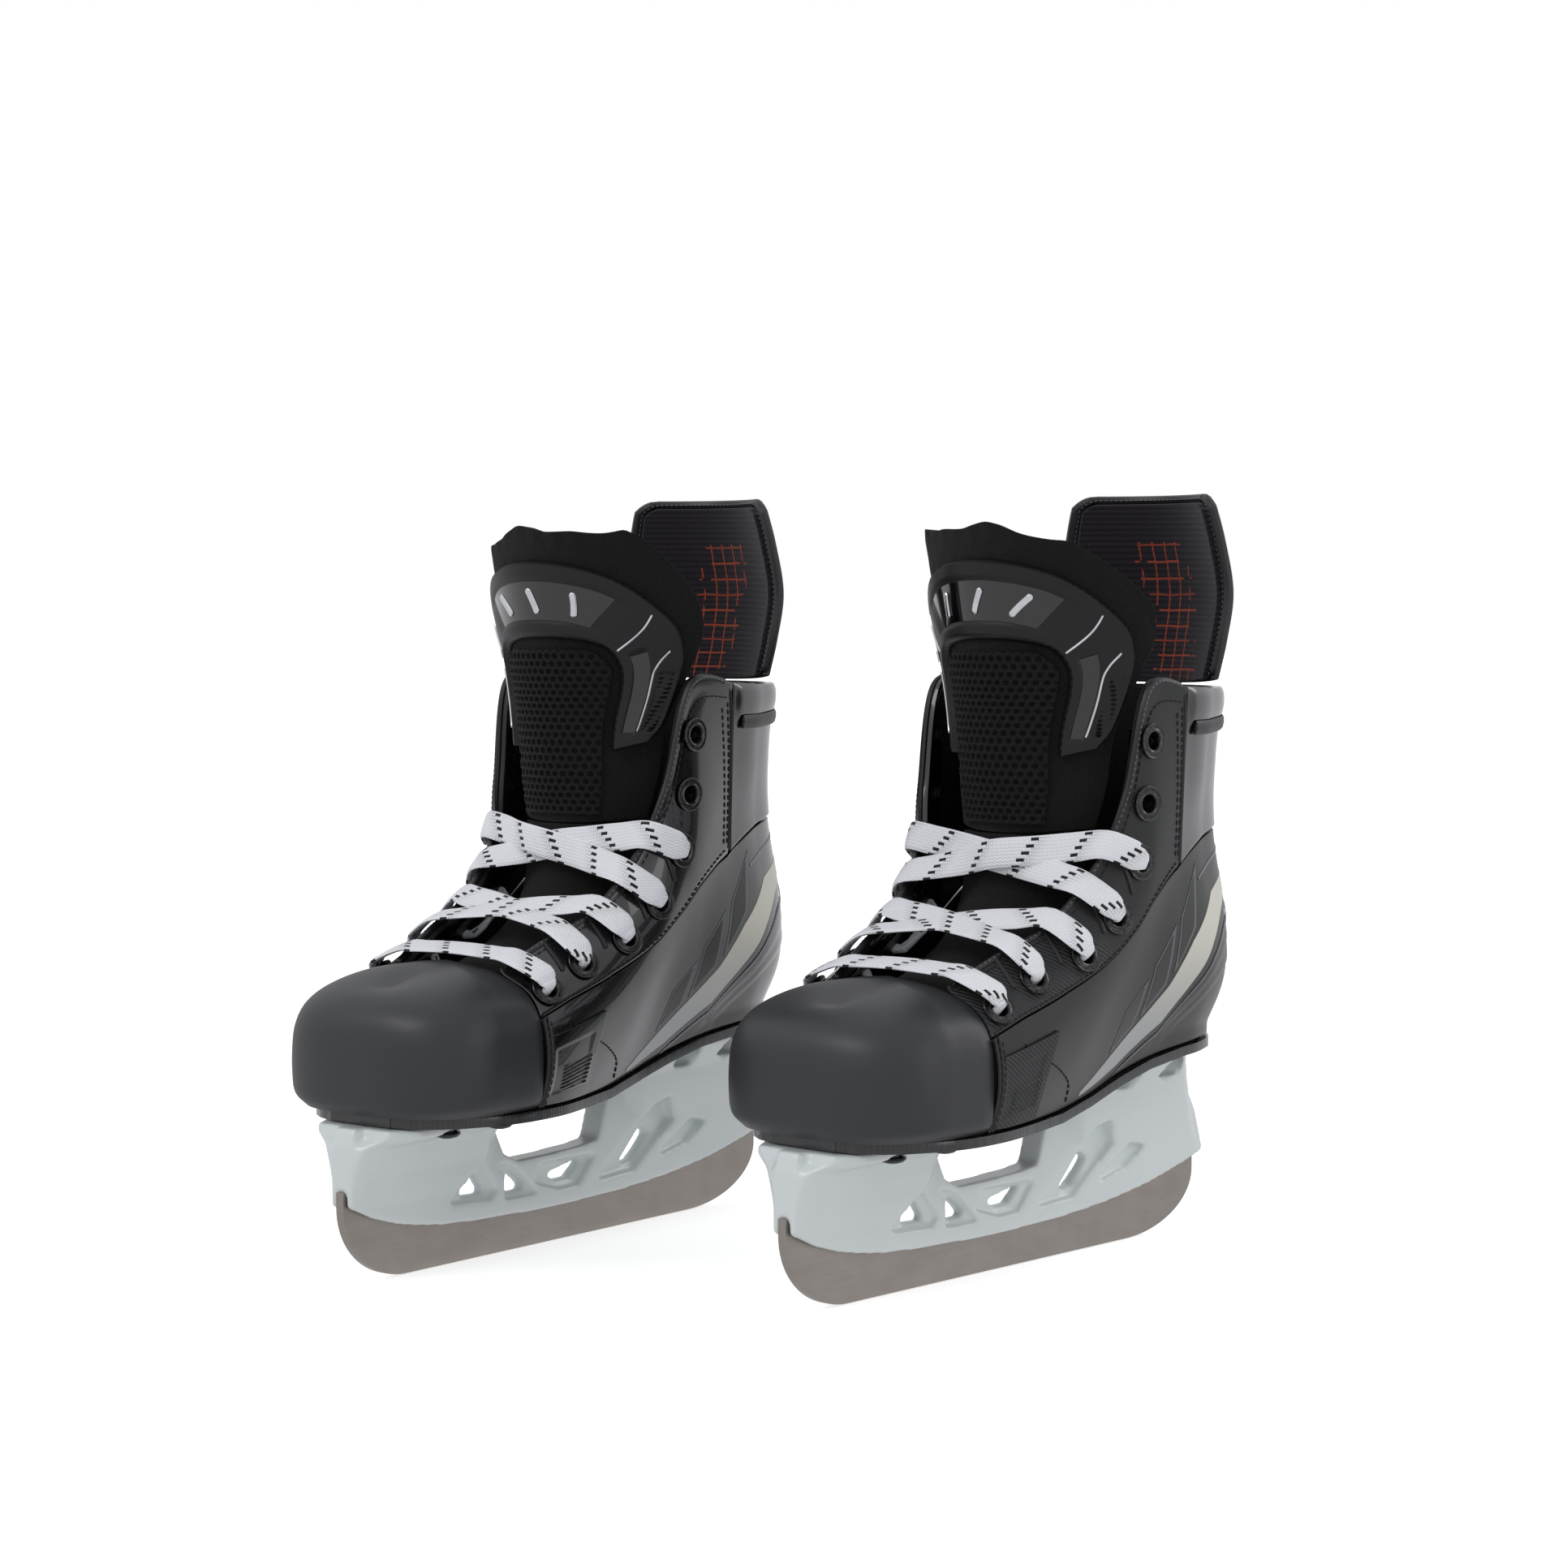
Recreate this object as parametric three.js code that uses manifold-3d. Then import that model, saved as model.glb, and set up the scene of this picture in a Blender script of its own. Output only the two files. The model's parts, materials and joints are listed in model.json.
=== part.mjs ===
// A pair of youth ice-hockey skates: two mirrored skates, each a stiff boot on a moulded
// blade holder with a stainless runner. Millimetres, +Z up, toes towards -Y, the left-foot
// skate at +X. Each skate is built in its own frame (x = 0 on the blade's mid-plane,
// lateral side at +x, ice at z = 0), then placed in the pair.
import * as THREE from "three";
import { mergeVertices } from "three/addons/utils/BufferGeometryUtils.js";
import ManifoldModule from "manifold-3d";

const wasm = await ManifoldModule();
wasm.setup();

// ---- driving sizes -------------------------------------------------------------------
const BOOT_LENGTH = 197;       // toe front to heel back
const BALL_WIDTH = 81;         // widest part of the forefoot, outside
const BOOT_RISE = 130.5;        // sole at the toe up to the collar rim
const SOLE_HEIGHT = 52.5;       // ice to the top of the outsole at the toe
const HEEL_PITCH = 16;         // how much higher the sole is under the heel
const OUTSOLE_T = 3.4;
const SHELL_T = 2.4;           // boot wall
const FACING_PROUD = 0.8;      // the eyelet facing stands out from the quarter
const TOE_PROUD = 0.7;         // and so does the toe cap
const LINING_T = 4.0;
const LINING_GAP = 1.1;
const GAP = 0.35;              // clearance between neighbouring pieces
const RUNNER_T = 3.0;
const RUNNER_LENGTH = 203;
const RAIL_T = 9;              // holder thickness along the runner
const SLOT_DEPTH = 5.0;        // runner seated in the holder
const TOE_FLANGE_W = 43;
const HEEL_FLANGE_W = 38;
const RIVET_R = 2.0;
const RIVET_HEAD_R = 4.2;
const EYELET_HOLE_R = 2.75;
const EYELET_BARREL_R = 3.6;
const EYELET_FLANGE_R = 5.5;
const LACE_W = 9.5;
const LACE_T = 1.6;
const TONGUE_T = 5.0;
const GUARD_T = 2.4;           // tendon guard
const PAIR_SPREAD = 138.5;     // between the two blades
const PAIR_STAGGER = 60.3;     // the right skate stands this much further forward
const PAIR_TURN = 4.85;        // degrees the right skate is toed in

// scale of the boot tables below against the sizes they were drawn at
const SX = BALL_WIDTH / 81, SY = BOOT_LENGTH / 197, SZ = BOOT_RISE / 133;
const X = (x) => x * SX;
const Y = (y) => y * SY;
const Z = (z) => SOLE_HEIGHT + (z - 50) * SZ;

// ---- small maths ---------------------------------------------------------------------
const V = (x, y, z) => new THREE.Vector3(x, y, z);
const mix = (a, b, t) => a + (b - a) * t;

function catmull(a, b, c, d, t) {
  const cubic = (p, q, r, s) => 0.5 * (2 * q + (r - p) * t + (2 * p - 5 * q + 4 * r - s) * t * t
    + (3 * q - p - 3 * r + s) * t * t * t);
  return a.map((_, i) => cubic(a[i], b[i], c[i], d[i]));
}

// a smooth curve through rows of numbers, at parameter 0 .. rows.length - 1
function along(rows, t) {
  const last = rows.length - 1;
  const i = Math.min(Math.max(Math.floor(t), 0), last - 1);
  const past = (p, q) => p.map((v, k) => 2 * v - q[k]);
  const before = i > 0 ? rows[i - 1] : past(rows[0], rows[1]);
  const after = i + 2 <= last ? rows[i + 2] : past(rows[last], rows[last - 1]);
  return catmull(before, rows[i], rows[i + 1], after, t - i);
}

// straight interpolation of a table [[key, value], ...] at a key
function lookup(table, key) {
  if (key <= table[0][0]) return table[0][1];
  for (let i = 1; i < table.length; i += 1) {
    const [k0, v0] = table[i - 1], [k1, v1] = table[i];
    if (key <= k1) return mix(v0, v1, (key - k0) / (k1 - k0));
  }
  return table[table.length - 1][1];
}

const steps = (a, b, n) => Array.from({ length: n + 1 }, (_, i) => mix(a, b, i / n));

// ---- closed bodies from grids of points -----------------------------------------------
function solid(triangles) {
  let volume = 0;
  for (const [a, b, c] of triangles) volume += a.dot(b.clone().cross(c));
  const data = [];
  for (const [a, b, c] of triangles) {
    for (const p of volume > 0 ? [a, b, c] : [a, c, b]) data.push(p.x, p.y, p.z);
  }
  const geometry = new THREE.BufferGeometry();
  geometry.setAttribute("position", new THREE.Float32BufferAttribute(data, 3));
  geometry.computeVertexNormals();
  return geometry;
}

const same = (a, b) => a.distanceToSquared(b) < 1e-8;

function facet(out, a, b, c) {
  if (!same(a, b) && !same(b, c) && !same(a, c)) out.push([a, b, c]);
}

function sheetOf(out, grid, flip) {
  for (let i = 0; i + 1 < grid.length; i += 1) {
    for (let j = 0; j + 1 < grid[i].length; j += 1) {
      const a = grid[i][j], b = grid[i + 1][j], c = grid[i + 1][j + 1], d = grid[i][j + 1];
      if (flip) { facet(out, a, c, b); facet(out, a, d, c); }
      else { facet(out, a, b, c); facet(out, a, c, d); }
    }
  }
}

// a thick sheet: outer and inner grids of the same shape joined along their borders
// (seam: borders whose own two halves already meet, so they need no wall)
function slab(outer, inner, seam = "") {
  const out = [];
  sheetOf(out, outer, false);
  sheetOf(out, inner, true);
  const n = outer.length - 1, m = outer[0].length - 1;
  const wall = (a, b, c, d) => { facet(out, a, b, c); facet(out, a, c, d); };
  for (let i = 0; i < n; i += 1) {
    if (seam !== "bottom") wall(outer[i][0], inner[i][0], inner[i + 1][0], outer[i + 1][0]);
    if (seam !== "top") wall(outer[i][m], outer[i + 1][m], inner[i + 1][m], inner[i][m]);
  }
  for (let j = 0; j < m; j += 1) {
    wall(outer[0][j], outer[0][j + 1], inner[0][j + 1], inner[0][j]);
    wall(outer[n][j], inner[n][j], inner[n][j + 1], outer[n][j + 1]);
  }
  return solid(out);
}

// rings of points joined one to the next, with flat ends
function loft(rings) {
  const out = [];
  for (let i = 0; i + 1 < rings.length; i += 1) {
    const a = rings[i], b = rings[i + 1], n = a.length;
    for (let j = 0; j < n; j += 1) {
      const k = (j + 1) % n;
      facet(out, a[j], b[j], b[k]);
      facet(out, a[j], b[k], a[k]);
    }
  }
  const first = rings[0], last = rings[rings.length - 1];
  for (let j = 1; j + 1 < first.length; j += 1) {
    facet(out, first[0], first[j], first[j + 1]);
    facet(out, last[0], last[j + 1], last[j]);
  }
  return solid(out);
}

// ---- booleans ------------------------------------------------------------------------
function toManifold(geometry) {
  let g = geometry.clone();
  g.deleteAttribute("normal");
  g.deleteAttribute("uv");
  if (g.index) g = g.toNonIndexed();
  g = mergeVertices(g, 1e-4);
  return new wasm.Manifold(new wasm.Mesh({
    numProp: 3,
    vertProperties: new Float32Array(g.attributes.position.array),
    triVerts: new Uint32Array(g.index.array),
  }));
}

function fromManifold(body) {
  const mesh = body.getMesh();
  const g = new THREE.BufferGeometry();
  g.setAttribute("position", new THREE.BufferAttribute(new Float32Array(mesh.vertProperties), 3));
  g.setIndex(new THREE.BufferAttribute(new Uint32Array(mesh.triVerts), 1));
  const flat = g.toNonIndexed();
  flat.computeVertexNormals();
  return flat;
}

const join = (parts) => parts.map(toManifold).reduce((a, b) => a.add(b));
const carve = (body, cutters) => cutters.map(toManifold).reduce((a, b) => a.subtract(b), body);

// ---- the boot's side surface ----------------------------------------------------------
// Sole height along the boot: level under the toe, climbing through the arch to the heel.
const SOLE_LINE = [[-101, 0], [-48, 0], [-30, 0.02], [-14, 0.08], [2, 0.28], [18, 0.56],
  [34, 0.8], [52, 0.94], [68, 1], [100, 1.02]];
const soleTop = (y) => SOLE_HEIGHT + HEEL_PITCH * lookup(SOLE_LINE, y / SY);

// Half-width of the sole from toe to heel.
const SOLE_OUTLINE = [[-97, 12], [-95, 19], [-91, 25], [-85, 30], [-77, 34], [-68, 36.8],
  [-58, 37.6], [-44, 36.6], [-30, 34.2], [-14, 32], [2, 30.6], [18, 29.8], [40, 29.6], [60, 28.8],
  [71, 25.4], [79, 19.6], [84, 13], [87, 7]];
const soleHalf = (y) => X(lookup(SOLE_OUTLINE, y / SY));

// Toe box profile from the sole up to the crown: share of the reach, share of the height.
const TOE_PROFILE = [[0.95, 0], [1.035, 0.08], [1.056, 0.24], [1.055, 0.42], [1.032, 0.59],
  [0.955, 0.74], [0.805, 0.85], [0.575, 0.93], [0.3, 0.975], [0, 1]];
const SEAM_Y = -58;            // rear seam of the toe cap
const CROWN_Z = 95;
const TOE_REACH = 43;          // from the seam to the front of the toe
const TOE_SQUARE = 3.1;        // squareness of the toe's outline

// Ribs of the lateral side, heel back to toe seam, each from the sole to the top edge:
// columns are x, y, z. The last ribs end on the open front edge over the instep.
const RIBS = [
  [[0, 87, 66], [0, 96, 91], [0, 90, 135], [0, 86.5, 160], [0, 87, 183]],
  [[19, 79, 66], [23, 86.5, 91], [21, 80, 135], [24, 75.5, 160], [27, 75, 183]],
  [[28, 62, 66], [34, 65, 92], [30.5, 60, 132], [34, 56.5, 158], [38, 54, 183]],
  [[29, 38, 63.5], [36.5, 40, 90], [35.5, 41, 124], [38, 39, 155], [41.5, 36, 184]],
  [[29.2, 19, 59.5], [36.5, 21, 84], [38.5, 25, 112], [41, 23, 142], [41.5, 16, 184]],
  [[30.2, 3, 54.8], [37, 5, 78], [40, 11, 100], [41, 15, 124], [39, 8, 150]],
  [[31.6, -14, 51.5], [38.5, -12, 72], [41, -6, 90], [40.5, 1, 108], [34, 0, 128]],
  [[34, -30, 50.4], [39.5, -29, 68], [41.5, -25, 83], [38.5, -21, 97.5], [30, -18, 110]],
  [[36.4, -45, 50], [40.5, -45, 65], [41, -44, 78], [36, -41.5, 91], [26, -38, 101.5]],
];

// point of the toe box: p = 0 lateral seam, 0.5 front, 1 medial seam; s = 0 sole, 1 crown
function toePoint(p, s, out = 0) {
  const [reach, height] = along(TOE_PROFILE, s * (TOE_PROFILE.length - 1));
  const angle = Math.PI * p, power = 2 / TOE_SQUARE;
  const cx = Math.cos(angle), sy = Math.sin(angle);
  const spineY = SEAM_Y - 24 * Math.pow(sy, 2), spineZ = CROWN_Z - 6.5 * Math.pow(sy, 2);
  const outlineX = 38.5 * Math.sign(cx) * Math.pow(Math.abs(cx), power);
  const outlineY = SEAM_Y - TOE_REACH * Math.pow(Math.abs(sy), power);
  const grow = 1 + out / 40;
  const x = outlineX * reach * grow;
  const y = spineY + (outlineY - spineY) * reach * grow;
  const z = 50 + (spineZ - 50) * height + out * height;
  return V(X(x), Y(y), Z(z));
}

// the last rib repeats the toe box's own section, so boot and cap meet in line
RIBS.push([0, 0.24, 0.42, 0.6, 0.78].map((s) => {
  const p = toePoint(0, s);
  return [p.x / SX, p.y / SY, 50 + (p.z - SOLE_HEIGHT) / SZ];
}));

const MEDIAL_FORWARD = 6;      // the inner facing reaches further over the instep
const ARCH_TUCK = 3;           // the inner side is drawn in under the arch
const archShare = (k) => Math.max(0, 1 - Math.abs(k - 5) / 2.6);

function ribPoint(k, v) {
  const index = Math.abs(k), medial = k < 0;
  const row = RIBS[index].map((p, level) => {
    const top = level / 4, ankle = Math.max(0, 1 - Math.abs(index - 5.5) / 3.5);
    const x = medial ? p[0] - ARCH_TUCK * archShare(index) * (1 - top) : p[0];
    const y = medial ? p[1] - MEDIAL_FORWARD * ankle * top * top : p[1];
    return [(medial ? -1 : 1) * x, y, p[2]];
  });
  return along(row, v);
}

const LAST_RIB = RIBS.length - 1;
// u = 0 heel back, +LAST_RIB lateral toe seam, -LAST_RIB medial toe seam; v = 0 sole .. 4 top
function surface(u, v) {
  const rows = [];
  const i = Math.min(Math.max(Math.floor(u), -LAST_RIB), LAST_RIB - 1);
  const from = Math.max(i - 1, -LAST_RIB), to = Math.min(i + 2, LAST_RIB);
  for (let k = from; k <= to; k += 1) rows.push(ribPoint(k, v));
  const p = along(rows, u - from);
  return V(X(p[0]), Y(p[1]), Z(p[2]));
}

function surfaceNormal(u, v) {
  const e = 0.02;
  const du = surface(Math.min(u + e, LAST_RIB), v).sub(surface(Math.max(u - e, -LAST_RIB), v));
  const dv = surface(u, Math.min(v + e, 4)).sub(surface(u, Math.max(v - e, 0)));
  return dv.cross(du).normalize();
}

const onBoot = (u, v, d) => surface(u, v).addScaledVector(surfaceNormal(u, v), d);

// stations every half rib between two ends, so that layers over one another run parallel
function ribStations(from, to) {
  const inner = steps(-LAST_RIB, LAST_RIB, LAST_RIB * 4)
    .filter((u) => u > Math.min(from, to) + 0.15 && u < Math.max(from, to) - 0.15);
  return [from, ...(to < from ? inner.reverse() : inner), to];
}

// a piece of the boot wall between two depths (positive = outwards)
function wallPiece(us, low, high, nv, dIn, dOut) {
  const grid = (d) => us.map((u) => steps(low(u), high(u), nv).map((v) => onBoot(u, v, d)));
  return slab(grid(dOut), grid(dIn));
}

// find the surface parameters of a point given by its side view (y, z)
function locate(side, y, z) {
  let best = null;
  for (let u = 2.6; u <= LAST_RIB; u += 0.05) {
    for (let v = 1.5; v <= 4; v += 0.05) {
      const p = surface(side * u, v);
      const miss = Math.hypot(p.y - y, p.z - z);
      if (!best || miss < best.miss) best = { u: side * u, v, miss };
    }
  }
  return best;
}

// ---- boot pieces ----------------------------------------------------------------------
const FACING_LOW = [[3, 2.05], [4, 2.2], [5, 2.35], [6, 2.5], [7, 2.5], [8, 2.45], [9, 2.35]];
const facingLow = (u) => lookup(FACING_LOW, Math.abs(u));
const QUARTER_START = 1.2, FACING_START = 3.04, COLLAR_END = 2.96, COLLAR_LOW = 2.05;

function quarter(side) {
  const us = ribStations(side * QUARTER_START, side * (LAST_RIB - 0.02));
  const high = (u) => (Math.abs(u) < 3 ? COLLAR_LOW : facingLow(u)) - 0.035;
  return wallPiece(us, () => 0.02, high, 4, -SHELL_T, 0);
}

function heelCup() {
  const end = QUARTER_START - 0.02;
  return wallPiece(ribStations(-end, end), () => 0.02, () => COLLAR_LOW - 0.035, 4, -SHELL_T, 0);
}

const collar = () => wallPiece(ribStations(-COLLAR_END, COLLAR_END), () => COLLAR_LOW,
  () => 4, 4, -SHELL_T, 0.6);

function lining() {
  const end = 3.25;
  return wallPiece(ribStations(-end, end), () => 1.0, () => 3.97, 4,
    -SHELL_T - LINING_GAP - LINING_T, -SHELL_T - LINING_GAP);
}

const heelBadge = () => wallPiece(ribStations(-0.62, 0.62), () => 2.75, () => 3.45, 3,
  0.6 + 3 * GAP, 0.6 + 3 * GAP + 1.0);

const rand = (side) => wallPiece(ribStations(side * 7.15, side * (LAST_RIB - 0.06)), () => 0.12,
  () => 1.75, 3, GAP, GAP + 0.9);

// ---- facing and eyelets ---------------------------------------------------------------
const EYELETS = [[-51, 87], [-33, 94.2], [-13.5, 101], [2, 111.6], [13, 128.1],
  [16, 146.9], [17.5, 167.5]];

function eyeletFrames(side) {
  const shift = side < 0 ? -MEDIAL_FORWARD * 0.55 : 0;
  return EYELETS.map(([y, z], i) => {
    const at = locate(side, Y(y + shift * Math.min(1, i / 2)), Z(z));
    const centre = onBoot(at.u, at.v, 0);
    return { ...at, centre, normal: surfaceNormal(at.u, at.v) };
  });
}

function rod(centre, normal, radius, from, to, sides = 8) {
  const length = to - from;
  const g = new THREE.CylinderGeometry(radius, radius, length, sides);
  g.applyQuaternion(new THREE.Quaternion().setFromUnitVectors(V(0, 1, 0), normal));
  const p = centre.clone().addScaledVector(normal, (from + to) / 2);
  return g.translate(p.x, p.y, p.z);
}

function facing(side, frames) {
  const us = ribStations(side * FACING_START, side * (LAST_RIB - 0.02));
  const body = toManifold(wallPiece(us, facingLow, () => 4, 3, -SHELL_T, FACING_PROUD));
  const holes = frames.map((f) => rod(f.centre, f.normal, EYELET_BARREL_R + GAP, -8, 8, 6));
  return fromManifold(carve(body, holes));
}

const STAY_IN = -SHELL_T - 2.6, STAY_OUT = -SHELL_T - 1.6;

// seven grommets held by one reinforcing stay behind the facing
function eyelets(frames) {
  const stay = frames.map((f, i) => {
    const a = frames[Math.max(i - 1, 0)].centre, b = frames[Math.min(i + 1, 6)].centre;
    const run = b.clone().sub(a).normalize();
    const across = run.clone().cross(f.normal).normalize();
    const reach = i === 0 ? -4.5 : i === 6 ? 5 : 0;
    const c = f.centre.clone().addScaledVector(run, reach);
    const at = (w, d) => c.clone().addScaledVector(across, w).addScaledVector(f.normal, d);
    return [at(-4.8, STAY_IN), at(4.8, STAY_IN), at(4.8, STAY_OUT), at(-4.8, STAY_OUT)];
  });
  const under = FACING_PROUD + 1.5 * GAP;
  const parts = [loft(stay)];
  for (const f of frames) {
    parts.push(rod(f.centre, f.normal, EYELET_BARREL_R, STAY_IN + 0.3, under + 0.5, 6));
    parts.push(rod(f.centre, f.normal, EYELET_FLANGE_R, under, under + 0.9, 6));
  }
  const holes = frames.map((f) => rod(f.centre, f.normal, EYELET_HOLE_R, -12, 12, 6));
  return fromManifold(carve(join(parts), holes));
}

// ---- toe cap --------------------------------------------------------------------------
function toeCap() {
  const ps = steps(0, 1, 14), ss = steps(0, 1, 7);
  const grid = (out) => ps.map((p) => ss.map((s) => {
    const q = toePoint(p, s, out);
    const seam = Math.min(p, 1 - p);
    if (seam < 1e-6) q.y -= GAP;
    return q;
  }));
  return slab(grid(TOE_PROUD), grid(-SHELL_T), "top");
}

// ---- sole plates ----------------------------------------------------------------------
// a plate following the sole line: inset from the outline, between two heights above it
function solePlate(inset, low, high, yFrom, yTo, count) {
  const ys = steps(yFrom, yTo, count);
  const half = (y) => Math.max(soleHalf(y) - inset, 4);
  const grid = (h) => ys.map((y) => [-1, 0, 1].map((f) => {
    const tuck = f < 0 ? ARCH_TUCK * Math.max(0, 1 - Math.abs(y / SY - 3) / 45) : 0;
    return V(f * half(y) - f * f * -tuck * (f < 0 ? 1 : 0), y, soleTop(y) + h);
  }));
  return slab(grid(high), grid(low));
}

const SOLE_BOTTOM = -OUTSOLE_T;
const TOE_RIVETS = [-77, -53], HEEL_RIVETS = [45, 67];
const toeRivetX = X(17.5), heelRivetX = X(13.5);

function rivetPlaces(ys, x) {
  return ys.flatMap((y) => [1, -1].map((s) => V(s * x, Y(y), soleTop(Y(y)))));
}

function outsole() {
  const plate = toManifold(solePlate(-0.8, SOLE_BOTTOM, -GAP, Y(-97), Y(87), 17));
  const places = [...rivetPlaces(TOE_RIVETS, toeRivetX), ...rivetPlaces(HEEL_RIVETS, heelRivetX)];
  return fromManifold(carve(plate, places.map((p) => rod(p, V(0, 0, 1), RIVET_R + GAP, -9, 6))));
}

const PLATE_T = 1.0;           // clinch plate over each group of rivets, under the insole
const insoleBoard = () => solePlate(SHELL_T + 2.2, PLATE_T + 2 * GAP, PLATE_T + 2 * GAP + 1.8,
  Y(-92), Y(80), 14);
const footbed = () => solePlate(SHELL_T + 3.2, PLATE_T + 3 * GAP + 1.8, PLATE_T + 3 * GAP + 5.0,
  Y(-90), Y(78), 14);

// four rivets through sole and holder flange, clinched on one plate above the outsole
function rivets(ys, x, flangeT) {
  const plateEdge = x + 6, y0 = Y(ys[0]) - 7, y1 = Y(ys[1]) + 7;
  const grid = (h) => steps(y0, y1, 4).map((y) => [-1, 1].map(
    (f) => V(f * plateEdge, y, soleTop(y) + h)));
  const parts = [slab(grid(GAP + PLATE_T - 0.35), grid(GAP - 0.3))];
  const headAt = SOLE_BOTTOM - flangeT - GAP * 2;
  for (const p of rivetPlaces(ys, x)) {
    parts.push(rod(p, V(0, 0, 1), RIVET_R, headAt - 0.4, GAP + 0.2, 6));
    const dome = new THREE.SphereGeometry(RIVET_HEAD_R, 8, 6).scale(1, 1, 0.42);
    const cap = toManifold(dome.translate(p.x, p.y, p.z + headAt))
      .subtract(toManifold(rod(p, V(0, 0, 1), RIVET_HEAD_R * 2, headAt, headAt + 9, 8)));
    parts.push(fromManifold(cap));
  }
  return fromManifold(join(parts));
}

// ---- runner and holder ----------------------------------------------------------------
const RY = RUNNER_LENGTH / 203;
const holderBottom = (y) => lookup([[-106, 24.5], [-98, 20.4], [-82, 15.6], [-64, 13.3],
  [-46, 12.3], [-20, 11.7], [10, 12], [30, 13], [50, 14.8], [70, 17.8], [86, 21.4], [99, 25]], y / RY);

function prism(outline, holes, halfThickness) {
  const shape = new THREE.Shape(outline.map(([y, z]) => new THREE.Vector2(y, z)));
  for (const h of holes) shape.holes.push(new THREE.Path(h.map(([y, z]) => new THREE.Vector2(y, z))));
  const g = new THREE.ExtrudeGeometry(shape, { depth: 2 * halfThickness, bevelEnabled: false });
  g.translate(0, 0, -halfThickness);
  // extrusion axis becomes X, drawing x becomes Y, drawing y becomes Z
  g.applyMatrix4(new THREE.Matrix4().set(0, 0, 1, 0, 1, 0, 0, 0, 0, 1, 0, 0, 0, 0, 0, 1));
  return g;
}

function runnerOutline(grow) {
  const bottom = [];
  for (const t of steps(0, 1, 8)) {              // toe curl
    const a = (Math.PI / 2) * t;
    bottom.push([-79 - 27.5 * Math.cos(a), 24 - 24 * Math.sin(a)]);
  }
  for (const t of steps(0, 1, 6)) {              // heel curl
    const a = (Math.PI / 2) * t;
    bottom.push([60 + 37 * Math.sin(a), 19 - 19 * Math.cos(a)]);
  }
  bottom.push([97, 24]);
  const seat = (y, clear) => [y * RY, holderBottom(y * RY) + SLOT_DEPTH - clear];
  const stations = steps(97, -106.5, 18);
  if (!grow) return [...bottom.map(([y, z]) => [y * RY, z]), ...stations.map((y) => seat(y, GAP))];
  const level = (y, like) => [y * RY, seat(like, 0)[1]];
  return [level(104, 97), ...stations.map((y) => seat(y, 0)), level(-112, -106.5),
    [-112 * RY, -5], [104 * RY, -5]];
}

const runner = () => prism(runnerOutline(false), [], RUNNER_T / 2);

const HOLDER_TOP = [[99, 27], [95, 36], [78, 64], [15, 64], [15.5, 47], [9.5, 31.2], [0, 30.2],
  [-14, 29.6], [-30, 29.4], [-36.5, 32.5], [-42, 40], [-44, 56], [-101, 56], [-105.5, 40],
  [-106, 27]];
const WINDOWS = [
  [[-57, 21], [-43.5, 20.3], [-48.8, 27.4]],
  [[-34, 19.2], [-22.5, 19], [-33, 26.4]],
  [[-15, 22.2], [-9, 20], [-2.5, 20.2], [4.6, 26]],
  [[22, 20.8], [30, 22], [43, 34.5], [39, 37]],
];
// hollows in both sides of the web; the struts stand between them
const POCKET_FLOOR = 2.2;       // half the web left between two hollows
const POCKETS = [
  [[-63, 19.2], [-42, 18.4], [-39.6, 21.5], [-46.5, 29.5], [-50.5, 29.5]],
  [[-36.2, 17], [-19.6, 17], [-31, 27.6], [-36.2, 27.6]],
  [[-40, 29.2], [-34.8, 22.5], [-32.4, 28.6]],
  [[-21.5, 20.6], [-9.5, 17], [0, 17.4], [8.5, 26.8], [-19.5, 27]],
  [[8, 17.4], [28, 18.4], [48, 33.5], [44, 42], [36.5, 40.5], [27.5, 32.6]],
  [[38, 20.6], [56, 24.5], [66, 31], [57, 32.5]],
];

function towerRing(z, half, yFront, yBack) {
  const cut = Math.min(half * 0.55, 9);
  return [[half, yFront + cut], [half, yBack - cut], [half - cut * 0.6, yBack], [cut * 0.6 - half, yBack],
    [-half, yBack - cut], [-half, yFront + cut], [cut * 0.6 - half, yFront], [half - cut * 0.6, yFront]]
    .map(([x, y]) => V(x, y * RY, z));
}

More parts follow.
